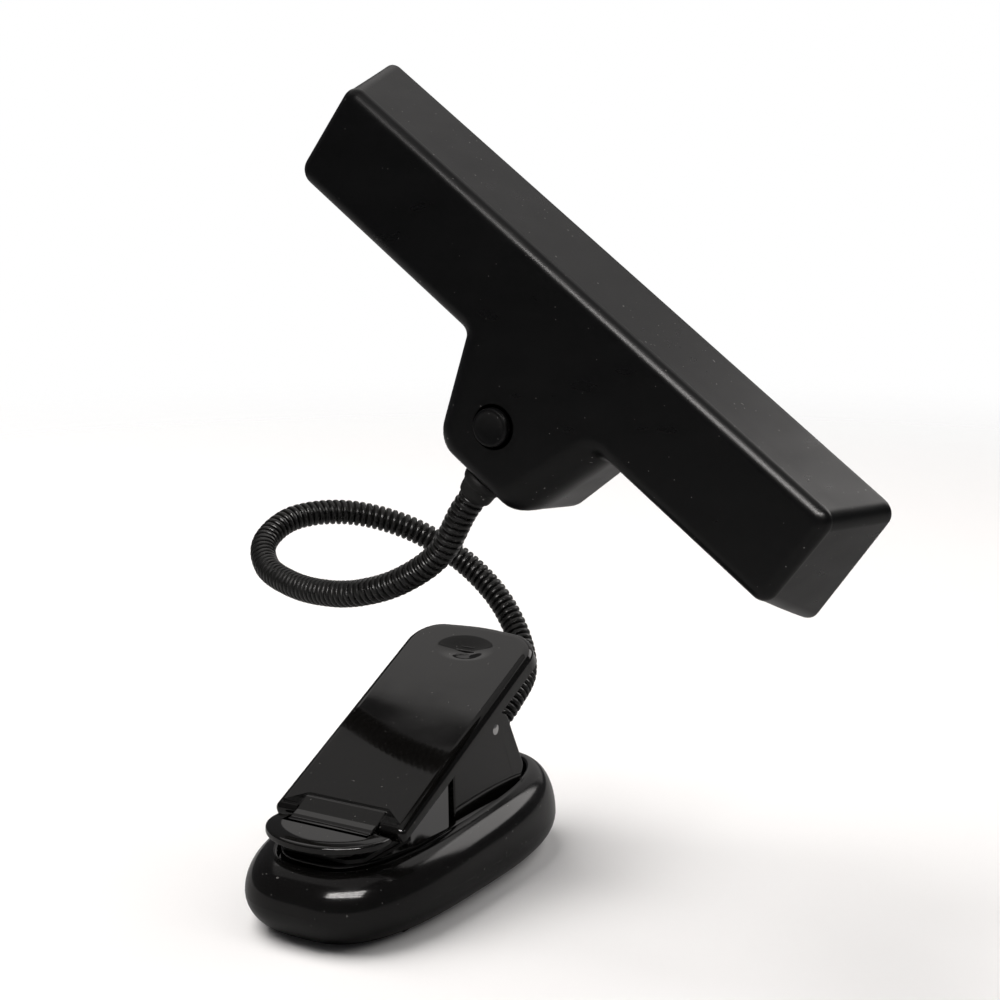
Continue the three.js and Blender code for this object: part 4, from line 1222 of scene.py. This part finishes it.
# The T-shaped moulding. Its inside is the same shape, a wall's thickness in.
def teeSolid(name, wall, end):
    edges = [head["edge"]] * 8
    edges[1], edges[2], edges[3] = head["stemEdges"]
    edges = [max(edge - wall * 0.8, 0.8) for edge in edges]
    rings = [teeRing([wall + edge + 0.5 for edge in edges], [wall] * 8)]
    for turn in quarterTurns(10):
        insets = [wall + edge * (1 - math.sin(turn)) for edge in edges]
        rings.append(teeRing(insets, [wall + edge * (1 - math.cos(turn)) for edge in edges]))
    stemEnd, far = head["stemDepth"] - wall, head["stemFarEdge"]
    first = wall + max(edges) + 0.6
    for step in range(5):
        depth = first + (stemEnd - far - 0.4 - first) * step / 4
        rings.append(evenRing(wall, depth))
    for step, turn in enumerate(quarterTurns(5)):
        insets, depths = [wall] * 8, [stemEnd - far + far * 0.9 * step / 5] * 8
        for index in (1, 2, 3):
            insets[index] = wall + far * (1 - math.cos(turn))
            depths[index] = stemEnd - far + far * math.sin(turn)
        rings.append(teeRing(insets, depths))
    rim = [(wall, stemEnd + 0.02)] + [(wall, stemEnd + (end - stemEnd) * step / 4) for step in range(1, 5)]
    if wall == 0:
        rim[-1:] = [(0, end - 0.4), (0.1, end - 0.1), (0.35, end)]
    rings += [stemless(evenRing(inset, depth)) for inset, depth in rim]
    return loft(name, rings)


# Beyond the stem's end its stretch of the ring lies along the bar's underside.
def stemless(ring):
    first, last = 9, 44  # the points at the two roots of the stem
    start, end = Vector(ring[first]), Vector(ring[last])
    for index in range(first + 1, last):
        ring[index] = tuple(start.lerp(end, (index - first) / (last - first)))
    return ring


def headHousing():
    wall = head["wall"]
    piece = teeSolid("headHousing", 0, head["depth"])
    cut(piece, teeSolid("cavity", wall, head["depth"] + 2))
    button = headMatrix.inverted() @ middle("push_button")
    radius = head["buttonRadius"] + 0.35
    well = turned("well", [
        (0, -2), (radius + 0.5, -2), (radius + 0.5, -0.02), (radius + 0.12, 0.22),
        (radius, 0.5), (radius, 4), (0, 4),
    ], 64)
    cut(piece, transform(well, moveTo((button.x, 0, button.z)) @ depthwise))
    seat = -neck["collarSeat"]
    hole = turned("hole", [(0, seat - 9), (5.6, seat - 9), (5.6, seat), (3.9, seat), (3.9, -33), (0, -33)])
    cut(piece, transform(hole, moveTo((neck["entryX"], neck["entryDepth"], 0))))
    transform(piece, headMatrix)
    place(piece, satinBlack, "head", ["head_housing"], 28)


# The button's top is slightly dished, inside a rounded rim.
def pushButton():
    centre = headMatrix.inverted() @ middle("push_button")
    radius, proud = head["buttonRadius"], head["buttonProud"]
    piece = turned("pushButton", [
        (0, -proud + 0.38), (radius - 2.0, -proud + 0.3), (radius - 1.2, -proud + 0.12),
        (radius - 0.85, -proud), (radius - 0.55, -proud + 0.02), (radius - 0.25, -proud + 0.14),
        (radius - 0.06, -proud + 0.4), (radius, -proud + 0.75), (radius, 2.3), (radius + 0.8, 2.3),
        (radius + 0.9, 2.4), (radius + 0.9, 3.2), (radius + 0.8, 3.3), (2, 3.3), (2, 3.9), (1.9, 4), (0, 4),
    ], 72)
    transform(piece, headMatrix @ moveTo((centre.x, 0, centre.z)) @ depthwise)
    place(piece, satinBlack, "button", ["push_button"], 30)


# The grommet where the neck enters: a bead under the stem, then a taper down to the neck.
def neckCollar():
    seat, length = neck["collarSeat"], neck["collarLength"]
    bore = neck["radius"] + 0.1
    end = seat + length
    piece = turned("neckCollar", [
        (bore, -seat), (4.7, -seat), (5.05, -seat - 0.35), (5.2, -seat - 0.95), (5.2, -seat - 1.5),
        (5.05, -seat - 2.1), (4.75, -seat - 2.5), (4.55, -seat - 2.9), (4.4, -seat - 3.6), (4.25, -end + 0.9),
        (4.1, -end + 0.25), (3.85, -end), (bore, -end), (bore, -seat),
    ], 56)
    transform(piece, headMatrix @ moveTo((neck["entryX"], neck["entryDepth"], 0)))
    place(piece, sleeveRubber, "head", ["neck_collar"])


def lightParts():
    placeRefined("head_bezel", "headBezel", 0.3, satinBlack, "head", 3)
    placeRefined("diffuser_lens", "diffuserLens", 0.2, lensFinish, "head")
    placeRefined("reflector", "reflector", 0.12, reflectorWhite, "head")
    placeRefined("led_board", "ledBoard", 0.1, boardFinish, "head")
    for number in range(1, 10):
        led(number)
    for side in ("left", "right"):
        placeRefined(f"head_screw_{side}", f"headScrew_{side}", 0.1, brightSteel, "head")
    placeRefined("switch_body", "switchBody", 0.2, blackRubber, "head")
    placeRefined("collar_nut", "collarNut", 0.25, brightSteel, "head")
    for number in range(8):
        node = f"neck_lead_{number}"
        lead = refined(node, f"lead{number}", 0.05, 1)
        place(lead, leadFinish, frame["nodes"][node]["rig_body"], [node], 50)


# A 5 mm LED: a flange, a straight body and a round dome.
def led(number):
    spot = headMatrix.inverted() @ middle(f"led_{number}")
    height, radius = 7.2, 2.5
    back = spot.y - height / 2
    profile = [(0, 0), (2.8, 0), (2.9, 0.12), (2.9, 0.88), (2.8, 1.0), (radius, 1.05)]
    for turn in quarterTurns(8):
        profile.append((radius * math.cos(turn), height - radius + radius * math.sin(turn)))
    piece = turned(f"led{number}", profile, 32)
    transform(piece, headMatrix @ moveTo((spot.x, back, spot.z)) @ depthwise)
    place(piece, ledFinish, "head", [f"led_{number}"], 40)


headHousing()
pushButton()
neckCollar()
lightParts()
print("head ready")
